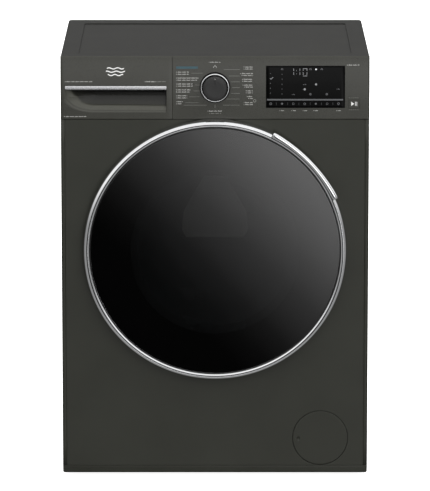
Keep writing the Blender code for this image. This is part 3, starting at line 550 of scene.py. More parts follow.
def worktop():
    """The moulded frame round the top, and the board that it holds."""
    front = FASCIA_REAR + 0.0004
    low, seat, corner = CABINET_TOP + 0.0006, 0.8374, 0.004
    edges = [(0.0008, low), (0.0, low + 0.001), (0.0, TOP - 0.0042)]
    for i in range(1, 7):
        turn = math.radians(90 * i / 6)
        edges.append((corner * (1 - math.cos(turn)), TOP - 0.0042 + corner * math.sin(turn)))
    bm = stacked(edges, lambda inset: rounded(
        (-SIDE + inset, front + inset * 0.2), (SIDE - inset, BACK - inset), 0.006))
    body = add_piece("worktop_rim", bm, "worktop", "cabinet", 50.0)
    window = shrunk((-0.2655, FRONT + 0.04), (0.2655, BACK - 0.054), 0.006)
    inside = shrunk((-SIDE + 0.004, front + 0.004), (SIDE - 0.004, BACK - 0.004), 0.004)
    carve(body, stacked(((0, seat), (0, TOP + 0.01)), window), stacked(((0, low - 0.01), (0, seat)), inside))
    low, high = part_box("worktop_board")
    bm = stacked(((0.0, low[2]), (0.0, high[2] - 0.0006), (0.0006, high[2])), lambda inset: rounded(
        (low[0] + inset, low[1] + 0.006), (high[0] - inset, high[1]), 0.004))
    board = add_piece("worktop_panel", bm, "worktop_board", "cabinet")
    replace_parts(body, "worktop_frame")
    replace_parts(board, "worktop_board")


def screw_heads(name, places):
    """Domed screws with a round recess, facing backwards."""
    radius = 0.0042
    dome = (
        (0.22, 0.0006), (0.42, 0.0016), (0.62, 0.0015), (0.9, 0.001), (1.0, 0.0004), (1.0, -0.0004),
        (0.22, -0.0004),
    )
    bm = bmesh.new()
    for x, y, z in places:
        lathe(bm, shifted(y, [(radius * share, rise) for share, rise in dome]), x, z, steps=16)
    add_piece(name, bm, "inner_steel", "cabinet", 40.0)


def back_panel():
    """The rear sheet with pressed panels, its service cover, the screws and the transit caps."""
    edge, backwards = SIDE - 0.0105, Vector((0, 1, 0))
    presses = (
        ((-0.275, 0.06), (0.275, 0.2)), ((-0.275, 0.215), (-0.185, 0.69)),
        ((0.185, 0.215), (0.275, 0.67)), ((-0.18, 0.655), (0.18, 0.79)),
    )
    us = [-edge] + spaced(-edge + 0.004, edge - 0.004, 0.0045) + [edge]
    vs = spaced(PANEL_LOW, CABINET_TOP, 0.0045)

    def place(x, z):
        depth = max(pressing(x, z, low, high, 0.014, 0.006) for low, high in presses)
        return (x, BACK - 0.0002 - 0.0022 * depth, z)

    sheet = add_piece("rear_sheet", relief_sheet(us, vs, place), "inner_steel", "cabinet", 25.0)
    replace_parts(skin(sheet, 0.0008, backwards), "back_panel")

    rows = [(x, BACK, z) for x in (-0.2815, 0.2815) for z in (0.045, 0.205, 0.43, 0.64, 0.795)]
    rows += [(x, BACK, z) for x in (-0.14, 0.0, 0.14) for z in (0.0385, 0.8015)]
    screw_heads("rear_screws", rows)

    low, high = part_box("rear_service_cover")
    y0, y1 = low[1], high[1]

    def cover_place(x, z):
        edge_gap = min(x - low[0], high[0] - x, z - low[2], high[2] - z)
        height = y0 + (y1 - y0) * smoothstep((edge_gap + 0.001) / 0.007)
        ribs = 0.0018 * pressing(x, z, (-0.115, 0.285), (0.115, 0.575), 0.03, 0.006)
        groove = 0.0
        for line in (0.33, 0.38, 0.43, 0.48, 0.53):
            groove += 0.0014 * pressing(x, z, (-0.09, line - 0.008), (0.09, line + 0.008), 0.0079, 0.006)
        return (x, height - ribs + groove, z)

    bm = relief_sheet(spaced(low[0], high[0], 0.004), spaced(low[2], high[2], 0.004), cover_place)
    cover = add_piece("rear_cover", bm, "inner_steel", "cabinet", 30.0)
    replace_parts(skin(cover, 0.0008, backwards), "rear_service_cover")
    screw_heads("cover_screws", [(x, y1 - 0.0018, z) for x in (-0.155, 0.155) for z in (0.24, 0.43, 0.62)])

    bm = bmesh.new()
    cap = shifted(BACK, [
        (1e-4, 0.005), (0.01, 0.005), (0.013, 0.004), (0.0145, 0.0015), (0.0145, -0.003),
        (1e-4, -0.003)])
    for x, z in ((-0.225, 0.175), (0.225, 0.175), (-0.205, 0.715), (0.205, 0.715)):
        lathe(bm, cap, x, z, steps=32)
        bar_low, bar_high = (x - 0.0085, z - 0.0012), (x + 0.0085, z + 0.0012)
        slab(bm, bar_low, bar_high, 0.001, BACK + 0.0045, BACK + 0.0062, 0.0003, 2)
    add_piece("transit_caps", bm, "black_plastic", "cabinet")


def connections():
    """The threaded inlet, the drain spigot and the cord's gland."""
    low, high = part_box("inlet_valve")
    x, z, tip = centre("inlet_valve", 0), 0.765, high[1]
    thread = [(0.0095, tip), (0.0118, tip)]
    for turn in range(9):
        y = tip - 0.001 - 0.0017 * turn
        thread += [(0.0131, y - 0.0005), (0.0118, y - 0.0013)]
    thread += shifted(BACK, [(0.0118, -0.001), (0.018, -0.0015), (0.018, -0.006), (0.0095, -0.006)])
    valve = turned("inlet_thread", thread, "white_plastic", "cabinet", x=x, z=z, steps=48)
    bezel = shifted(BACK, [
        (0.0175, 0.0005), (0.0205, 0.0018), (0.0215, 0.0005), (0.0215, -0.001), (0.0175, -0.001)])
    turned("inlet_bezel", bezel, "black_plastic", "cabinet", x=x, z=z, steps=48)
    gauze = shifted(tip, [(1e-4, -0.0105), (0.0096, -0.0105), (0.0096, -0.0125), (1e-4, -0.0125)])
    turned("inlet_gauze", gauze, "stainless", "cabinet", x=x, z=z, steps=32)
    coil = slab(
        bmesh.new(), (x - 0.016, z - 0.022), (x + 0.016, z + 0.022), 0.004, low[1], BACK - 0.02, 0.0015)
    add_piece("inlet_coil", coil, "white_plastic", "cabinet")
    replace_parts(valve, "inlet_valve")

    for node, name, barbs, bore, flange, z in (
        ("drain_outlet", "drain_spigot", 4, 0.0085, 0.018, 0.785),
        ("mains_gland", "cord_gland", 5, 0.0048, 0.012, 0.7),
    ):
        tip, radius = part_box(node)[1][1], bore + 0.003
        neck = radius - 0.0012
        profile = [(bore, tip), (neck, tip)]
        for i in range(barbs):
            y = tip - 0.001 - (tip - BACK - 0.003) * i / barbs
            profile += [(radius, y - 0.0008), (neck, y - 0.002)]
        profile += shifted(BACK, [
            (neck, 0.0016), (flange - 0.001, 0.0016), (flange, 0.0006), (flange, -0.004), (bore, -0.007)])
        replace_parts(turned(name, profile, "black_plastic", "cabinet", x=0.25, z=z, steps=40), node)


# ---------------------------------------------------------------- fascia

LEAN = [
    (0.7163, 0.001), (0.7168, 0.0003), (0.7176, 0.0), (0.7184, 0.0), (0.74, 0.00005), (0.75, 0.0002),
    (0.76, 0.0004), (0.77, 0.0008), (0.78, 0.0013), (0.79, 0.0019), (0.8, 0.0027), (0.81, 0.0036),
    (0.82, 0.0047), (0.827, 0.0056), (0.832, 0.0064), (0.835, 0.007), (0.837, 0.0075), (0.8384, 0.0081),
    (0.8391, 0.0087), (0.8393, 0.009),
]
LEAN_HEIGHTS = [height for height, _ in LEAN]
GRIP_LOW, GRIP_HIGH = (-0.2926, 0.73), (-0.094, 0.776)


def fascia_y(z):
    """The fascia's surface: upright below, leaning back and rounded over at the top."""
    return FRONT + interpolate(LEAN, z)


def rounding(gap, radius):
    """How far a rounded edge has dropped back, at a distance from the edge."""
    if gap >= radius:
        return 0.0
    reach = radius - max(gap, 0.0)
    return radius - math.sqrt(max(radius * radius - reach * reach, 0.0))


def fascia_shell(name, left, right, radii, xs, zs, dip, body):
    """A moulded shell over the fascia's surface, its edges folded back."""
    def place(x, z):
        drop = rounding(x - left, radii[0]) + rounding(right - x, radii[1])
        return (x, min(fascia_y(z) + drop, FASCIA_REAR) + dip(x, z), z)

    bm = relief_sheet(xs, zs, place)
    rim = [edge for edge in bm.edges if edge.is_boundary]
    folded = bmesh.ops.extrude_edge_only(bm, edges=rim)
    for item in folded["geom"]:
        if isinstance(item, bmesh.types.BMVert):
            item.co.y = FASCIA_REAR
    return skin(add_piece(name, bm, "panel_plastic", body, 40.0), 0.0016, Vector((0, -1, 0)))


def edge_places(left, right, radii):
    """Grid places that follow the rounded edges at both ends."""
    shares = [1 - math.cos(math.radians(90 * i / 6)) for i in range(7)]
    return [left + radii[0] * share for share in shares] + [right - radii[1] * share for share in shares]


GRIP_PROFILE = [
    (0.0, 0.0), (0.0012, 0.001), (0.0024, 0.002), (0.0034, 0.0022), (0.0043, 0.0026), (0.0122, 0.0085),
    (0.014, 0.0105), (0.018, 0.013), (0.026, 0.0165), (0.034, 0.0195), (0.046, 0.023),
]


def grip_depth(x, z):
    """The finger recess: a lip and a ledge all round it, then a scoop that deepens towards the bright bar."""
    if not (GRIP_LOW[0] <= x <= GRIP_HIGH[0] and GRIP_LOW[1] <= z <= GRIP_HIGH[1]):
        return 0.0
    sag = 0.0007 * math.sin((x - GRIP_LOW[0]) / (GRIP_HIGH[0] - GRIP_LOW[0]) * 5.0 - 0.4)
    corner_x, corner_z = 0.06, 0.03
    u = max(0.0, 1.0 - (x - GRIP_LOW[0]) / corner_x)
    v = max(0.0, 1.0 - (z - GRIP_LOW[1]) / corner_z)
    inward = corner_z * (1.0 - min(1.0, math.hypot(u, v)))
    inward += max(0.0, z - GRIP_LOW[1] - corner_z) * smoothstep(2.0 * (1.0 - u))
    inward = max(0.0, inward - sag * smoothstep(inward / 0.012))
    wall = smoothstep((GRIP_HIGH[0] - x) / 0.0014)
    return interpolate(GRIP_PROFILE, inward) * wall


# Painted light and shade for the finger recess, as factors on the plastic's colour by depth: above 1 a
# painted highlight on the lip and ledge, below 1 painted shade that darkens deeper in.
PAINTED_SHADING_GAIN, PAINTED_SHADING_DEPTH = 2.5, 0.024
RECESS_PAINTED_SHADING = [
    (0.0, 1.0), (0.0004, 1.0), (0.0012, 1.6), (0.002, 1.3), (0.0024, 1.15), (0.0032, 1.8), (0.0075, 2.0),
    (0.0092, 1.5), (0.0108, 0.66), (0.013, 0.52), (0.0165, 0.37), (0.0195, 0.27), (0.0215, 0.11),
    (0.023, 0.05),
]


def recess_painted_shading():
    """The panel's plastic with painted light and shade by the recess's depth: a painted highlight on the lip
    and ledge, then ever darker painted shade deeper in.
    """
    material = FINISHES["panel_plastic"].copy()
    material.name = "recess_painted_shading"
    tree = material.node_tree
    link = tree.links.new
    principled = next(node for node in tree.nodes if node.type == "BSDF_PRINCIPLED")
    plain = principled.inputs["Base Color"].links[0].from_socket
    place = add_node(tree, "ShaderNodeTexCoord")
    split = add_node(tree, "ShaderNodeSeparateXYZ")
    link(place.outputs["Object"], split.inputs[0])
    painted_shading = add_node(tree, "ShaderNodeValToRGB")
    while len(painted_shading.color_ramp.elements) < len(RECESS_PAINTED_SHADING):
        painted_shading.color_ramp.elements.new(0.5)
    for element, (reach, level) in zip(painted_shading.color_ramp.elements, RECESS_PAINTED_SHADING):
        element.position = reach / PAINTED_SHADING_DEPTH
        element.color = (level / PAINTED_SHADING_GAIN,) * 3 + (1.0,)
    scaled = add_node(tree, "ShaderNodeVectorMath", operation="MULTIPLY")
    gain = add_node(tree, "ShaderNodeVectorMath", operation="SCALE", Scale=PAINTED_SHADING_GAIN)
    link(remap(tree, split.outputs["Y"], FRONT, FRONT + PAINTED_SHADING_DEPTH), painted_shading.inputs["Fac"])
    link(plain, scaled.inputs[0])
    link(painted_shading.outputs["Color"], scaled.inputs[1])
    link(scaled.outputs["Vector"], gain.inputs[0])
    link(gain.outputs["Vector"], principled.inputs["Base Color"])
    return material


def drawer_front():
    """The drawer's face with its finger recess, and the bright bar over the recess."""
    left, right, radii = -SIDE, SEAM_LEFT + 0.00035, (0.003, 0.0005)
    (x0, z0), (x1, z1) = GRIP_LOW, GRIP_HIGH
    xs = merged(
        edge_places(left, right, radii), (x0 - 0.0001, x1 + 0.0001), spaced(x0, -0.225, 0.0012),
        spaced(-0.225, -0.1, 0.0025), spaced(-0.1, x1, 0.0006))
    zs = merged(
        LEAN_HEIGHTS, (z0 - 0.0001, z1 + 0.0001), spaced(z0, z0 + 0.006, 0.0006),
        spaced(z0 + 0.006, z1, 0.0011))
    shell = fascia_shell("drawer_face", left, right, radii, xs, zs, grip_depth, "drawer")
    # The recess's faces take the plastic with painted highlight and painted shade.
    shell.data.materials.append(recess_painted_shading())
    for face in shell.data.polygons:
        x, y, z = face.center
        if x0 < x < x1 and z0 < z < z1:
            face.material_index = 1
    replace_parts(shell, "drawer_front")

    low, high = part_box("drawer_trim")
    half_z, middle = 0.0041, (low[2] + high[2]) / 2 - 0.0012
    section = []
    for i in range(13):
        share = -1 + i / 6
        section.append((low[1] + (high[1] - low[1]) * abs(share) ** 8, half_z * share))
    section += [(high[1] + 0.0008, half_z), (high[1] + 0.0008, -half_z)]
    loops = []
    for x, size in ((low[0], 0.86), (low[0] + 0.0006, 1.0), (high[0] - 0.0006, 1.0), (high[0], 0.86)):
        loops.append([(x, y, middle + z * size) for y, z in section])
    trim = add_piece("drawer_bar", loft(bmesh.new(), loops), "satin_trim", "drawer", 40.0)
    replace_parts(trim, "drawer_trim")


def drawer_tray():
    """The soap tray: three pockets, a siphon cap and level marks."""
    low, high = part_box("drawer_tray")
    levels = ((0.0016, low[2]), (0.0, low[2] + 0.002), (0.0, high[2] - 0.0012), (0.0006, high[2]))
    bm = stacked(levels, shrunk(low, high, 0.006))
    tray = add_piece("soap_tray", bm, "white_plastic", "drawer", 40.0)
    pockets = []
    for x0, x1 in ((low[0] + 0.002, -0.236), (-0.234, -0.16), (-0.158, high[0] - 0.002)):
        levels = ((0.003, low[2] + 0.002), (0.0, low[2] + 0.006), (0.0, high[2] + 0.01))
        pockets.append(stacked(levels, shrunk((x0, low[1] + 0.002), (x1, high[1] - 0.002), 0.006)))
    carve(tray, *pockets)
    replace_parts(tray, "drawer_tray")

    levels = ((0.0, 0.774), (0.0, 0.7795), (0.0012, 0.781), (0.004, 0.7814))
    bm = stacked(levels, shrunk((-0.156, -0.15), (-0.1015, -0.035), 0.008))
    tube = [
        (1e-4, 0.7815), (0.007, 0.7815), (0.0085, 0.785), (0.0085, 0.788), (0.007, 0.789), (1e-4, 0.789)]
    upright(bm, tube, -0.1288, -0.06)
    add_piece("siphon_cap", bm, "panel_plastic", "drawer")
    bm = bmesh.new()
    for middle, bars in ((-0.259, 1), (-0.197, 2)):
        for i in range(bars):
            x = middle + 0.006 * (i - (bars - 1) / 2)
            loft(bm, [rectangle(x, 0.001, -0.13, -0.11, low[2] + rise) for rise in (0.0018, 0.0028)])
    add_piece("tray_marks", bm, "print_faint", "drawer")


def control_panel():
    """The panel to the right of the drawer, and the start key that sits in it."""
    left, right, radii = SEAM_RIGHT - 0.00035, SIDE, (0.0005, 0.003)
    xs = merged(edge_places(left, right, radii), spaced(left + 0.0015, right - 0.0035, 0.012))
    zs = merged(LEAN_HEIGHTS)
    shell = fascia_shell("fascia", left, right, radii, xs, zs, lambda x, z: 0.0, "cabinet")
    low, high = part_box("start_button")
    gap = 0.0003
    corners = (low[0] - gap, low[2] - gap), (high[0] + gap, high[2] + gap)
    settle(shell)
    carve(shell, slab(bmesh.new(), *corners, 0.0022, FRONT - 0.01, FRONT + 0.006))
    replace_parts(shell, "control_panel")

    bm = slab(bmesh.new(), (low[0], low[2]), (high[0], high[2]), 0.002, low[1], high[1], 0.0003)
    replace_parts(add_piece("start_key", bm, "panel_plastic", "start_key"), "start_button")
    x, z, y = centre("start_button", 0), centre("start_button", 2), low[1]
    bm = bmesh.new()
    prism(bm, [(x - 0.0058, z + 0.0042), (x - 0.0058, z - 0.0042), (x + 0.0002, z)], y)
    for start in (0.0019, 0.0046):
        near, far = x + start, x + start + 0.001
        prism(bm, [(near, z + 0.004), (near, z - 0.004), (far, z - 0.004), (far, z + 0.004)], y)
    # The symbol is white ink with a faint painted glow.
    add_piece("start_symbol", bm, "print_white_painted_glow", "start_key")


PRINT_SUNK, PRINT_PROUD = 0.0003, 0.00012


def prism(bm, outline, y):
    """A thin printed mark, standing just proud of a surface."""
    return loft(bm, [[(px, level, pz) for px, pz in outline] for level in (y + PRINT_SUNK, y - PRINT_PROUD)])


def mark(bm, x0, z0, x1, z1, proud=0.0):
    """A small upright or level bar printed on the fascia."""
    y = fascia_y((z0 + z1) / 2) - proud
    return prism(bm, [(x0, z0), (x1, z0), (x1, z1), (x0, z1)], y)


def words(bm, x0, x1, z, height=0.0019, seed=0, proud=0.0):
    """A row of plain strokes that stands for small print and spells nothing."""
    x, i = x0, seed
    while x < x1 - 0.0006:
        wide = 0.0009 + 0.0004 * ((i * 7) % 3) / 2
        tall = height * (1.0 if (i * 5) % 4 == 0 else 0.68)
        if (i * 11 + seed) % 6 != 5:
            mark(bm, x, z - height / 2, min(x + wide, x1), z - height / 2 + tall, proud)
        x += wide + 0.00035
        i += 1


def disc(bm, x, z, radius, proud=0.0, hole=0.0, steps=20):
    """A printed dot or ring."""
    inner = max(hole, 1e-5)
    profile = [(inner, PRINT_SUNK), (radius, PRINT_SUNK), (radius, -PRINT_PROUD), (inner, -PRINT_PROUD)]
    return lathe(bm, shifted(fascia_y(z) - proud, profile), x, z, steps=steps)


LEGEND_RIGHT = (
    (0.8137, 0.017, 0.0557), (0.8013, 0.027, 0.049), (0.79, 0.031, 0.053), (0.7788, 0.033, 0.054),
    (0.7675, 0.031, 0.06), (0.7565, 0.022, 0.062), (0.7445, 0.015, 0.056),
)
LEGEND_LEFT = (-0.05, -0.0315, -0.043, -0.046, -0.054, -0.0625)


def legends():
    """The programme names and their leader lines, as plain strokes."""
    light, faint, teal = bmesh.new(), bmesh.new(), bmesh.new()
    for number, (z, start, text) in enumerate(LEGEND_RIGHT):
        mark(faint, start, z - 0.00025, 0.048, z + 0.00025)
        words(light, text, 0.0735, z + 0.005, seed=number)
        words(light, text + 0.003 * (number % 2), 0.0735, z + 0.0012, 0.0018, seed=number + 3)
    for number, end in enumerate(LEGEND_LEFT):
        z = 0.809 - 0.0115 * number
        words(light, -0.0752, end, z, seed=number + 1)
        words(light, -0.0752, end - 0.003 * (number % 2), z - 0.0042, 0.0018, seed=number + 5)
        mark(faint, end + 0.004, z - 0.0024, -0.024 - 0.0015 * number, z - 0.002)
    mark(faint, -0.0606, 0.7442, -0.016, 0.7447)
    mark(teal, -0.0756, 0.8132, -0.033, 0.8196)
    words(light, -0.012, 0.011, 0.828, 0.0017, seed=3)
    disc(light, 0.0, 0.818, 0.0032, hole=0.0024)
    mark(light, -0.0003, 0.818, 0.0003, 0.8225)
    mark(faint, -0.0003, 0.739, 0.0003, 0.745)
    words(light, -0.014, 0.013, 0.733, seed=6)
    words(faint, -0.011, 0.012, 0.7284, 0.0015, seed=1)
    disc(faint, 0.077, 0.753, 0.003, hole=0.002)
    words(light, 0.256, 0.28, 0.8226, 0.002, seed=5)
    for x in (0.13, 0.153, 0.175, 0.196, 0.24):
        words(light, x - 0.0045, x + 0.0045, 0.7338, 0.0017, seed=int(x * 1000))
    for z in (0.7588, 0.7354):
        for i in range(5):
            start = 0.26 + 0.004 * i
            mark(faint, start, z - 0.0003, start + 0.0024, z + 0.0003)
    for kind, bm in (("light", light), ("faint", faint), ("teal", teal)):
        add_piece("legend_" + kind, bm, "print_" + kind, "cabinet")


def wave_strip(bm, x, z, half, thickness, phase):
    """A printed wavy line that follows the fascia's surface."""
    loops = []
    for i in range(31):
        t = -1 + i / 15
        middle = z + 0.0012 * math.sin(2 * math.pi * t + phase)
        edges = (middle - thickness / 2, middle + thickness / 2)
        front = [(x + half * t, fascia_y(edge) - 0.00025, edge) for edge in edges]
        rear = [(x + half * t, fascia_y(edge) + 0.0003, edge) for edge in reversed(edges)]
        loops.append(front + rear)
    loft(bm, loops)


def drawer_legends():
    """A plain emblem of three waves and a few rows of strokes on the drawer's face."""
    light, faint, white = bmesh.new(), bmesh.new(), bmesh.new()
    for row, half in enumerate((0.0165, 0.0185, 0.015)):
        wave_strip(white, -0.193, 0.816 - 0.0064 * row, half, 0.0021, row)
    words(light, -0.291, -0.238, 0.7905, 0.0018, seed=1)
    words(light, -0.136, -0.115, 0.7905, 0.0022, seed=2)
    words(faint, -0.114, -0.094, 0.7905, 0.0018, seed=3)
    words(light, -0.293, -0.25, 0.7222, 0.0018, seed=4)
    # The emblem is white ink with a faint painted glow.
    add_piece("drawer_emblem", white, "print_white_painted_glow", "drawer")
    add_piece("drawer_print_light", light, "print_light", "drawer")
    add_piece("drawer_print_faint", faint, "print_faint", "drawer")


def seven_segment(bm, x, z, width, height, lit, proud):
    """A digit of plain segments. lit lists them, a to g."""
    t = 0.0009
    top, middle, right = z + height, z + height / 2, x + width
    bars = {
        "a": (x, top - t, right, top), "b": (right - t, middle, right, top),
        "c": (right - t, z, right, middle), "d": (x, z, right, z + t), "e": (x, z, x + t, middle),
        "f": (x, middle, x + t, top), "g": (x, middle - t / 2, right, middle + t / 2),
    }
    for key in lit:
        mark(bm, *bars[key], proud=proud)


def display():
    """The black window, its figures and symbols, and the row of touch keys."""
    low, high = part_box("display_window")
    proud = 0.0003
    xs = merged(spaced(low[0], high[0], 0.008), (low[0] + 0.0006, high[0] - 0.0006))
    zs = merged(spaced(low[2], high[2], 0.004), (low[2] + 0.0006, high[2] - 0.0006))

    def place(x, z):
        gap = min(x - low[0], high[0] - x, z - low[2], high[2] - z)
        return (x, fascia_y(z) - proud + (0.0003 if gap < 0.0003 else 0.0), z)

    window = add_piece("display_glass", relief_sheet(xs, zs, place), "black_gloss", "cabinet", 50.0)
    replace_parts(skin(window, 0.0012, Vector((0, -1, 0))), "display_window")

    bright, middle, dim = bmesh.new(), bmesh.new(), bmesh.new()
    for x, width, lit in ((0.1485, 0.0045, "bc"), (0.1605, 0.0045, "bc"), (0.1705, 0.0082, "abcdef")):
        seven_segment(middle, x, 0.801, width, 0.015, lit, proud)
    for x, z, radius in (
        (0.158, 0.8055, 0.0006), (0.158, 0.8115, 0.0006), (0.196, 0.785, 0.0021), (0.174, 0.7755, 0.0021),
    ):
        disc(middle, x, z, radius, proud)
    disc(bright, 0.196, 0.814, 0.0016, proud)
    for x, z in ((0.185, 0.814), (0.207, 0.814), (0.13, 0.814), (0.185, 0.766), (0.217, 0.766)):
        disc(dim, x, z, 0.0022, proud, hole=0.0009)
    for x, z in ((0.152, 0.7655), (0.239, 0.776), (0.174, 0.785)):
        words(dim, x - 0.0028, x + 0.0028, z, 0.002, 2, proud)
    tick = [
        (0.1065, 0.7965), (0.1085, 0.7942), (0.113, 0.7985), (0.1123, 0.7992), (0.1085, 0.7957),
        (0.1072, 0.7972)]
    prism(middle, tick, fascia_y(0.796) - proud)
    for row in range(5):
        disc(dim, 0.1075, 0.806 - 0.0095 * row, 0.0008, proud)
        disc(dim, 0.13, 0.8045 - 0.0095 * row, 0.0008, proud)
    mark(dim, 0.1008, 0.7537, 0.2485, 0.7566, proud)
    key_shapes = ((0.0014, 24), (0.0, 4), (0.0016, 6))
    for number in range(7):
        x = 0.1082 + 0.0219 * number
        hole, steps = key_shapes[number % 3]
        disc(dim, x, 0.7472, 0.0024, proud, hole, steps)
        if number < 6:
            mark(dim, x + 0.0107, 0.7448, x + 0.0111, 0.7496, proud)
    add_piece("display_bright", bright, "lit_bright", "cabinet")
    add_piece("display_figures", middle, "lit_mid", "cabinet")
    add_piece("display_dim", dim, "lit_dim", "cabinet")


def program_dial():
    """The knob: a black skirt, a chrome ring, and a face with a pointer groove."""
    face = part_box("program_dial")[0][1]
    skirt = [(1e-4, FRONT + 0.003), (1e-4, face + 0.01), (0.0245, face + 0.01)]
    skirt += shifted(FRONT, [
        (0.0247, -0.0052), (0.0275, -0.0046), (0.0291, -0.0034), (0.0298, -0.0018), (0.0298, 0.003)])
    base = turned("dial_skirt", skirt, "black_gloss", "dial", z=DIAL_Z)
    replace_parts(base, "program_dial")
    ring = []
    for i in range(9):
        turn = math.radians(180 * i / 8)
        ring.append((0.0263 - 0.0017 * math.cos(turn), FRONT - 0.0048 - 0.0022 * math.sin(turn)))
    turned("dial_ring", ring, "chrome", "dial", z=DIAL_Z)
    cap = shifted(face, [
        (1e-4, 0.0004), (0.015, 0.0002), (0.0208, 0.0), (0.0222, 0.0006), (0.023, 0.002), (0.0236, 0.013),
        (1e-4, 0.013)])
    knob = turned(
        "dial_knob", cap, "knob_grey", "dial", 40.0, z=DIAL_Z, steps=240,
        wobble=lambda angle: 1.0 + 0.0025 * math.cos(60 * angle))
    bottom, top = (-0.0009, DIAL_Z + 0.0085), (0.0009, DIAL_Z + 0.026)
    carve(knob, slab(bmesh.new(), bottom, top, 0.0008, face - 0.002, face + 0.0012, 0.0002))
    bottom, top = (-0.0005, DIAL_Z + 0.0175), (0.0005, DIAL_Z + 0.0205)
    bm = slab(bmesh.new(), bottom, top, 0.0003, face + 0.0006, face + 0.0016, 0.0001, 2)
    add_piece("dial_mark", bm, "print_light", "dial")


# ---------------------------------------------------------------- door

HANDLE_FROM, HANDLE_TO = 24.0, 64.0


def door_ring():
    """The bright outer band, the dark groove and the fine inner band."""
    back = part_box("door_ring")[1][1]
    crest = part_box("door_ring")[0][1] + 0.0003
    outer = [(0.2575, back)] + shifted(crest, [
        (0.2575, 0.0118), (0.2571, 0.0082), (0.2563, 0.0056), (0.2551, 0.0036), (0.2537, 0.0021),
        (0.2524, 0.0011), (0.2512, 0.0004), (0.2506, 0.0002), (0.2502, 0.0007), (0.2501, 0.005),
        (0.252, 0.0052), (0.255, 0.0112)]) + [(0.2556, back)]
    spread = 0.2
    band = turned(
        "door_band", outer, "chrome", "door", 40.0, steps=160, start=HANDLE_TO + spread,
        end=HANDLE_FROM + 360 - spread)
    bottom, top = (-SIDE - 0.01, AXIS_Z - 0.042), (-0.225, AXIS_Z + 0.042)
    carve(band, slab(bmesh.new(), bottom, top, 0.002, crest + 0.0062, FRONT + 0.02))
    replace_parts(band, "door_ring")
    bed = shifted(crest, [(0.2428, 0.0042), (0.2512, 0.0042), (0.2512, 0.008), (0.2428, 0.008)])
    turned("door_groove", bed, "black_plastic", "door", steps=160)
    inner = shifted(crest, [
        (0.2486, 0.0046), (0.2486, 0.001), (0.2481, 0.0005), (0.2473, 0.0007), (0.2462, 0.0014),
        (0.2451, 0.0025), (0.2442, 0.0038), (0.2438, 0.0048)])
    turned("door_inner_band", inner, "chrome", "door", steps=160)


def door_handle():
    """The grip over the ring's upper right, a little wider at both tips."""
    low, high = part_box("door_handle")
    front, back = low[1], high[1]
    steps, inner = 48, 0.25
    rings = []
    for i in range(steps + 1):
        t = i / steps
        angle = math.radians(HANDLE_TO + (HANDLE_FROM - HANDLE_TO) * t)
        outer = 0.2594 + 0.0032 * (2 * t - 1) ** 2
        squeeze = (0.8, 0.95, 1.0)[min(2, int(min(t, 1 - t) * steps))]
        section = [
            (inner, back + 0.0005 - 0.0006), (inner, front + 0.0024), (inner + 0.0008, front + 0.001),
            (inner + 0.0026, front + 0.0002), (outer - 0.006, front), (outer - 0.0032, front + 0.0004),
            (outer - 0.0012, front + 0.0014), (outer - 0.0002, front + 0.0034), (outer, front + 0.0058),
            (outer - 0.0006, back - 0.0016), (outer - 0.0024, back - 0.0001), (inner + 0.003, back - 0.0001),
        ]
        middle_r, middle_y = (inner + outer) / 2, (front + back) / 2
        ring = []
        for radius, y in section:
            radius = middle_r + (radius - middle_r) * squeeze
            y = middle_y + (y - middle_y) * squeeze
            ring.append((radius * math.cos(angle), y, AXIS_Z + radius * math.sin(angle)))
        rings.append(ring)
    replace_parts(add_piece("door_grip", loft(bmesh.new(), rings), "chrome", "handle", 50.0), "door_handle")


def door_glass():
    """The domed smoked cover, the clear bowl behind it and the frame between them."""
    apex, edge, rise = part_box("door_cover")[0][1], 0.2424, 0.0062
    outside = []
    for i in range(15):
        r = edge * i / 14
        outside.append((max(r, 1e-4), apex + rise * (r / edge) ** 2))
    inside = [(r, y + 0.003) for r, y in reversed(outside)]
    outside += shifted(apex, [(0.243, 0.0068), (0.243, 0.0085)])
    cover = turned("door_glass", outside + inside, "smoked_glass", "door", steps=144)
    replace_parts(cover, "door_cover")
    rim = []
    for i in range(9):
        r = 0.165 + 0.076 * i / 8
        rim.append((r, apex + rise * (r / edge) ** 2 + 0.0031))
    border = rim + [(r, y + 0.0003) for r, y in reversed(rim)]
    turned("glass_border", border, "black_plastic", "door", steps=144)

    low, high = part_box("door_bowl")
    flange, tip = low[1], high[1]
    bowl_profile = shifted(tip, [
        (1e-4, -0.004), (0.06, -0.0052), (0.098, -0.009), (0.1175, -0.0165), (0.128, -0.028),
        (0.135, -0.043), (0.14, -0.06)])
    bowl_profile += shifted(flange, [(0.145, 0.0), (0.168, 0.0), (0.168, 0.0035), (0.1495, 0.0035)])
    bowl_profile += shifted(tip, [
        (0.1448, -0.059), (0.1395, -0.04), (0.131, -0.023), (0.121, -0.011), (0.101, -0.004),
        (0.06, -0.001), (1e-4, 0.0)])
    bowl = turned("door_bowl_glass", bowl_profile, "clear_glass", "door", 60.0, steps=128)
    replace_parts(bowl, "door_bowl")

    low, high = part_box("door_frame")
    y0, y1 = low[1], high[1]
    frame_profile = shifted(y1, [
        (0.1515, -0.0006), (0.1522, 0.0), (0.168, 0.0), (0.1705, -0.0012), (0.22, -0.0012), (0.2225, 0.0),
        (0.2395, 0.0), (0.2405, -0.001)])
    frame_profile += [(0.2405, y0), (0.2383, y0), (0.2383, y1 - 0.0035), (0.1515, y1 - 0.0035)]
    frame_ring = turned("door_inner_frame", frame_profile, "black_plastic", "door", 40.0, steps=128)
    bottom, top = (0.208, AXIS_Z - 0.009), (0.225, AXIS_Z + 0.009)
    carve(frame_ring, slab(bmesh.new(), bottom, top, 0.002, FRONT - 0.012, FRONT))
    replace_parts(frame_ring, "door_frame")


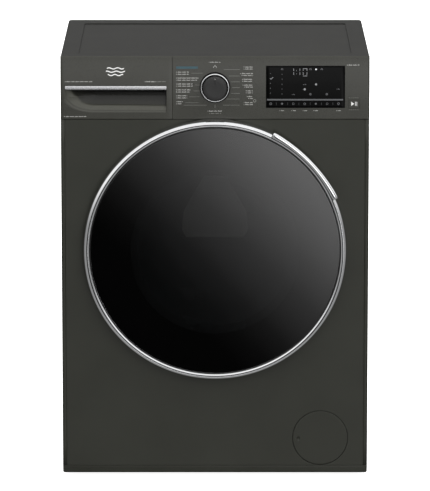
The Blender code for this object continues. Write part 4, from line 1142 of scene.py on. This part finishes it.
def bowl_guide():
    """The moulded guide in the bowl, faint behind the smoked cover."""
    y, middle = FRONT - 0.0145, 0.54
    outline = [
        (0.0225, 0.605), (0.018, 0.6074), (0.0, 0.608), (-0.018, 0.6074), (-0.0225, 0.605),
        (-0.061, 0.538), (-0.064, 0.5), (-0.056, 0.486), (0.056, 0.486), (0.064, 0.5),
        (0.061, 0.538),
    ]
    loops = []
    for scale, depth in ((1.0, 0.0035), (1.0, 0.001), (0.95, 0.0), (0.8, 0.004), (0.7, 0.011)):
        loops.append([(x * scale, y + depth, middle + (z - middle) * scale) for x, z in outline])
    add_piece("bowl_guide", loft(bmesh.new(), loops), "white_plastic", "door", 30.0)


def gasket():
    """The bellows: clamped to the porthole, a soft lip for the bowl, two folds, then the tub."""
    line = shifted(FRONT, [
        (0.1858, -0.0008), (0.183, -0.0016), (0.18, -0.0008), (0.178, 0.003), (0.17, 0.0052),
        (0.162, 0.007), (0.1578, 0.009), (0.1566, 0.0112), (0.1572, 0.014), (0.162, 0.016),
        (0.17, 0.0182), (0.1755, 0.0215), (0.1775, 0.026), (0.174, 0.0295), (0.1722, 0.033),
        (0.1745, 0.0362), (0.1785, 0.039), (0.1795, 0.0425), (0.1765, 0.0455), (0.1748, 0.05),
        (0.1748, 0.065)])
    half_wall = 0.0011
    outer, inner = [], []
    for i, (r, y) in enumerate(line):
        before, after = line[max(0, i - 1)], line[min(len(line) - 1, i + 1)]
        along = Vector((after[0] - before[0], after[1] - before[1])).normalized()
        across = Vector((-along.y, along.x)) * half_wall
        outer.append((r + across.x, y + across.y))
        inner.append((r - across.x, y - across.y))
    seal = turned("door_seal", outer + inner[::-1], "rubber_grey", None, 60.0, steps=128)
    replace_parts(seal, "door_gasket")
    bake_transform(seal)


def sump_hose():
    """The corrugated hose from the tub's sump down to the pump."""
    top, bottom, count = Vector((0.105, -0.085, 0.2268)), Vector((0.2071, -0.16, 0.1172)), 60
    line = []
    for i in range(count + 1):
        point = top.lerp(bottom, smoothstep(i / count))
        point.z = top.z + (bottom.z - top.z) * i / count
        line.append(point)
    turns = [2 * math.pi * k / 24 for k in range(24)]
    loops = []
    for i, point in enumerate(line):
        along = (line[min(count, i + 1)] - line[max(0, i - 1)]).normalized()
        across = along.cross(Vector((0.0, 1.0, 0.0))).normalized()
        third = across.cross(along)
        radius = 0.0139 if i < 4 or i > count - 4 or i % 4 < 2 else 0.0128
        loops.append([point + radius * (math.cos(a) * across + math.sin(a) * third) for a in turns])
    hose = add_piece("sump_bellows_hose", loft(bmesh.new(), loops), "rubber_black", None, 40.0)
    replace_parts(hose, "sump_hose")
    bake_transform(hose)


# ---------------------------------------------------------------- drum

def drum():
    """The drum: a rolled front lip, a perforated barrel and a pressed back."""
    around, along = 96, 18
    radius, low_y, high_y = 0.2358, -0.138, 0.118
    profile = [
        (0.1652, -0.1465), (0.165, -0.15), (0.1665, -0.1545), (0.17, -0.1556), (0.2, -0.1542),
        (0.224, -0.1528), (0.232, -0.15), (0.235, -0.144), (radius, low_y)]
    back = [
        (radius, high_y), (0.2345, 0.1235), (0.229, 0.1268), (0.22, 0.1262), (0.19, 0.1225),
        (0.15, 0.124), (0.11, 0.1205), (0.07, 0.1225), (0.03, 0.119), (0.0, 0.119)]
    bm = bmesh.new()

    def point(r, y, turn):
        angle = 2 * math.pi * turn / around
        press = 0.0022 * math.cos(6 * angle) if 0.075 < r < 0.205 and y > 0.1 else 0.0
        return bm.verts.new((r * math.cos(angle), y + press, AXIS_Z + r * math.sin(angle)))

    for rows in (profile, back):
        rings = [[point(r, y, i) for i in range(around)] for r, y in rows]
        for one, two in zip(rings, rings[1:]):
            for i in range(around):
                k = (i + 1) % around
                bm.faces.new((one[i], one[k], two[k], two[i]))

    cell_y = (high_y - low_y) / along
    hole = 0.0021
    for j in range(along):
        y0, y1 = low_y + cell_y * j, low_y + cell_y * (j + 1)
        middle_y = (y0 + y1) / 2
        for i in range(around):
            corners = [point(radius, y, turn) for y, turn in ((y0, i), (y0, i + 1), (y1, i + 1), (y1, i))]
            if (i + j) % 2:
                bm.faces.new(corners)
                continue
            ring = []
            for k in range(8):
                angle = math.radians(45 * k + 22.5)
                shift = hole * math.cos(angle) / (2 * math.pi * radius / around)
                ring.append(point(radius, middle_y + hole * math.sin(angle), i + 0.5 + shift))
            for one, two, third, fourth in ((0, 1, 6, 5), (1, 2, 0, 7), (2, 3, 2, 1), (3, 0, 4, 3)):
                bm.faces.new((corners[one], corners[two], ring[third], ring[fourth]))
            for corner, one, two in ((1, 7, 6), (2, 1, 0), (3, 3, 2), (0, 5, 4)):
                bm.faces.new((corners[corner], ring[one], ring[two]))
    shell = add_piece("drum_shell", bm, "stainless", "drum", 40.0)
    outward = 0.0
    for face in shell.data.polygons:
        if abs(face.normal.y) < 0.2:
            outward += face.normal.dot(face.center - Vector((0, face.center.y, AXIS_Z))) * face.area
    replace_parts(thicken(shell, 0.0009, outward > 0), "drum")


def lifters():
    """Three paddles with rounded crests."""
    seat, half, tall, count = 0.2345, 0.0245, 0.0495, 15
    sections = (
        (-0.124, 0.55), (-0.121, 0.82), (-0.114, 0.95), (-0.1, 1.0), (0.082, 1.0), (0.096, 0.95),
        (0.102, 0.82), (0.1045, 0.55))
    for number in range(3):
        spin = math.radians(120 * number)
        cosine, sine = math.cos(spin), math.sin(spin)
        loops = []
        for y, size in sections:
            loop = []
            for i in range(count):
                t = -1 + 2 * i / (count - 1)
                x = half * t * (0.85 + 0.15 * size)
                z = seat - tall * size * (1 - abs(t) ** 2.4) ** 0.8
                loop.append((x * cosine - z * sine, y, AXIS_Z + x * sine + z * cosine))
            loops.append(loop)
        name = "drum_paddle_%d" % (number + 1)
        paddle = add_piece(name, loft(bmesh.new(), loops), "tub_plastic", "drum", 50.0)
        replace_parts(paddle, "drum_lifter_%d" % (number + 1))


# ---------------------------------------------------------------- filter

def filter_flap():
    """The round flap with its thumb notch and hinge barrel."""
    back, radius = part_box("filter_cover")[1][1], 0.054
    profile = shifted(FRONT, [
        (1e-4, 0.0), (radius - 0.0018, 0.0), (radius - 0.0008, 0.0), (radius - 0.0002, 0.0002),
        (radius, 0.0008)])
    profile += [(radius, back), (radius - 0.0015, back), (radius - 0.0015, FRONT + 0.0024)]
    profile += [(1e-4, FRONT + 0.0024)]
    flap = turned("filter_lid", profile, "body_paint", "filter_flap", x=FLAP_X, z=FLAP_Z, steps=128)
    notch = bmesh.new()
    reach = Matrix.Translation((0.1645, FRONT - 0.0034, 0.0785)) @ Matrix.Diagonal((0.8, 0.95, 1.1, 1.0))
    bmesh.ops.create_uvsphere(notch, u_segments=24, v_segments=12, radius=0.0058, matrix=reach)
    carve(flap, notch)
    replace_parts(flap, "filter_cover")
    edge = FLAP_X + radius
    bottom, top = (edge - 0.0075, FLAP_Z - 0.012), (edge - 0.0035, FLAP_Z + 0.012)
    barrel = slab(bmesh.new(), bottom, top, 0.001, FRONT + 0.0012, back + 0.0006, 0.0003)
    add_piece("filter_lid_hinge", barrel, "black_plastic", "filter_flap")


def filter_plug():
    """The ribbed plug behind the flap, with a bar to turn it by."""
    low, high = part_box("pump_filter_plug")
    front = FRONT + 0.0085
    profile = [(1e-4, front), (0.03, front), (0.0335, front + 0.0008), (0.0342, front + 0.002)]
    profile += [(0.0342, FRONT + 0.0175), (0.0295, FRONT + 0.0175), (0.0295, -0.19), (0.024, -0.186)]
    profile += [(0.024, high[1]), (1e-4, high[1])]
    bm = lathe(
        bmesh.new(), profile, FLAP_X, FLAP_Z, steps=144,
        wobble=lambda angle: 1.0 + 0.006 * math.cos(36 * angle))
    bottom, top = (FLAP_X - 0.0255, FLAP_Z - 0.004), (FLAP_X + 0.0255, FLAP_Z + 0.004)
    slab(bm, bottom, top, 0.003, low[1], front + 0.001, 0.001)
    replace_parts(add_piece("filter_knob", bm, "black_plastic", "filter_plug", 40.0), "pump_filter_plug")


# ---------------------------------------------------------------- studio

def add_area(name, place, target, size, power):
    """A rectangular lamp that lights the object and shows neither itself nor its reflection."""
    data = bpy.data.lights.new(name, "AREA")
    data.shape = "RECTANGLE"
    data.size, data.size_y = size
    data.energy = power
    lamp = bpy.data.objects.new(name, data)
    lamp.location = place
    lamp.rotation_euler = (Vector(target) - Vector(place)).to_track_quat("-Z", "Y").to_euler()
    lamp.visible_camera = False
    lamp.visible_glossy = False
    bpy.context.scene.collection.objects.link(lamp)


def world_light():
    """Light from all round: bright above, dark low behind, and a graded card in front for the glass."""
    world = bpy.data.worlds.new("studio")
    bpy.context.scene.world = world
    world.use_nodes = True
    tree = world.node_tree
    link = tree.links.new
    background = tree.nodes["Background"]
    coords = add_node(tree, "ShaderNodeTexCoord")
    split = add_node(tree, "ShaderNodeSeparateXYZ")
    link(coords.outputs["Generated"], split.inputs[0])

    def math_node(operation, a, b):
        node = add_node(tree, "ShaderNodeMath", operation=operation)
        for socket, value in zip(node.inputs, (a, b)):
            if isinstance(value, (int, float)):
                socket.default_value = value
            else:
                link(value, socket)
        return node.outputs[0]

    def ranged(value, *limits):
        return remap(tree, value, *limits, interpolation_type="SMOOTHSTEP")

    x, y, z = split.outputs
    behind = math_node("MULTIPLY", ranged(y, -0.1, 0.5, 0.0, 0.92), ranged(z, 0.35, 0.7, 1.0, 0.0))
    sky = math_node("MULTIPLY", ranged(z, -0.05, 0.4, 0.32, 1.1), math_node("SUBTRACT", 1.0, behind))
    slant = math_node("MULTIPLY", math_node("ADD", math_node("ADD", x, z), 0.2), 1 / math.sqrt(2))
    place = math_node("MULTIPLY", math_node("ADD", slant, 0.1), 1 / 0.3)
    ramp = add_node(tree, "ShaderNodeValToRGB")
    stops = (
        (0.12, 0.0), (0.2, 0.01), (0.285, 0.037), (0.335, 0.075), (0.435, 0.148), (0.535, 0.28),
        (0.636, 0.454), (0.72, 0.58), (1.0, 1.0))
    elements = ramp.color_ramp.elements
    for element, (position, value) in zip(elements, (stops[0], stops[-1])):
        element.position, element.color = position, (value,) * 3 + (1.0,)
    for position, value in stops[1:-1]:
        elements.new(position).color = (value,) * 3 + (1.0,)
    link(place, ramp.inputs["Fac"])
    card = math_node("MULTIPLY", ramp.outputs["Color"], 2.7)
    facing = math_node("ADD", math_node("MULTIPLY", y, -0.9806), math_node("MULTIPLY", z, -0.1961))
    cone = ranged(facing, 0.9, 0.972, 0.0, 1.0)
    around = math_node("MULTIPLY", math_node("SUBTRACT", 1.0, cone), sky)
    shade = math_node("ADD", math_node("MULTIPLY", cone, card), around)
    seen = add_node(tree, "ShaderNodeLightPath").outputs["Is Camera Ray"]
    total = math_node("MAXIMUM", shade, math_node("MULTIPLY", seen, 1.0))
    link(total, background.inputs["Strength"])
    background.inputs["Color"].default_value = (1.0, 1.0, 1.0, 1.0)


def floor():
    """The white ground, which stays out of reflections and bounced light."""
    bm = bmesh.new()
    bmesh.ops.create_grid(bm, x_segments=2, y_segments=2, size=30.0)
    mesh = bpy.data.meshes.new("studio_floor")
    bm.to_mesh(mesh)
    bm.free()
    obj = bpy.data.objects.new("studio_floor", mesh)
    bpy.context.scene.collection.objects.link(obj)
    obj.location.z = -0.0002
    white = {"Emission Color": (1.0, 1.0, 1.0, 1.0), "Emission Strength": 0.95, SHINE: 0.0}
    mesh.materials.append(procedural(
        "floor_white", srgb(246, 246, 245), srgb(250, 250, 249), (0.85, 0.9), scale=0.5, relief=0.0,
        sockets=white))
    obj.visible_glossy = False
    obj.visible_diffuse = False


def camera():
    """The view from in front and above."""
    lens, distance, height, tilt = 313.8, 8.2, 2.099, 78.742
    data = bpy.data.cameras.new("camera")
    data.lens = lens
    data.sensor_width = 36.0
    data.clip_end = 100.0
    obj = bpy.data.objects.new("camera", data)
    obj.location = (0.0, FRONT - distance, height)
    obj.rotation_euler = (math.radians(tilt), 0.0, 0.0)
    bpy.context.scene.collection.objects.link(obj)
    bpy.context.scene.camera = obj


def studio():
    """The surroundings, the ground, the camera and three lamps."""
    bpy.context.scene.view_settings.view_transform = "Standard"
    world_light()
    floor()
    camera()
    add_area("top_light", (0.0, -0.6, 3.4), (0.0, 0.0, 0.6), (2.6, 2.2), 18.0)
    add_area("front_light", (1.4, -4.2, 2.2), (0.0, 0.0, 0.5), (2.4, 2.4), 30.0)
    add_area("rear_light", (0.6, 4.0, 1.8), (0.0, 0.0, 0.5), (3.0, 2.4), 60.0)


# ---------------------------------------------------------------- build

def finish_cad_nodes():
    """Give every CAD node the procedural finish of its slot."""
    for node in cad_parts.values():
        for slot in node.material_slots:
            name = slot.material.name.split(".")[0] if slot.material else "inner_steel"
            slot.material = FINISHES.get(name, FINISHES["inner_steel"])


def build():
    """Make every piece, then the studio."""
    finish_cad_nodes()
    for side, sign in (("left", -1), ("right", 1)):
        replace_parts(side_panel("cabinet_side_" + side, sign), "side_panel_" + side)
    for make in (
        front_panel, plinth, feet, worktop, back_panel, connections, drawer_front, drawer_tray,
        control_panel, legends, drawer_legends, display, program_dial, door_ring, door_handle, door_glass,
        bowl_guide, gasket, sump_hose, drum, lifters, filter_flap, filter_plug, studio,
    ):
        make()


build()
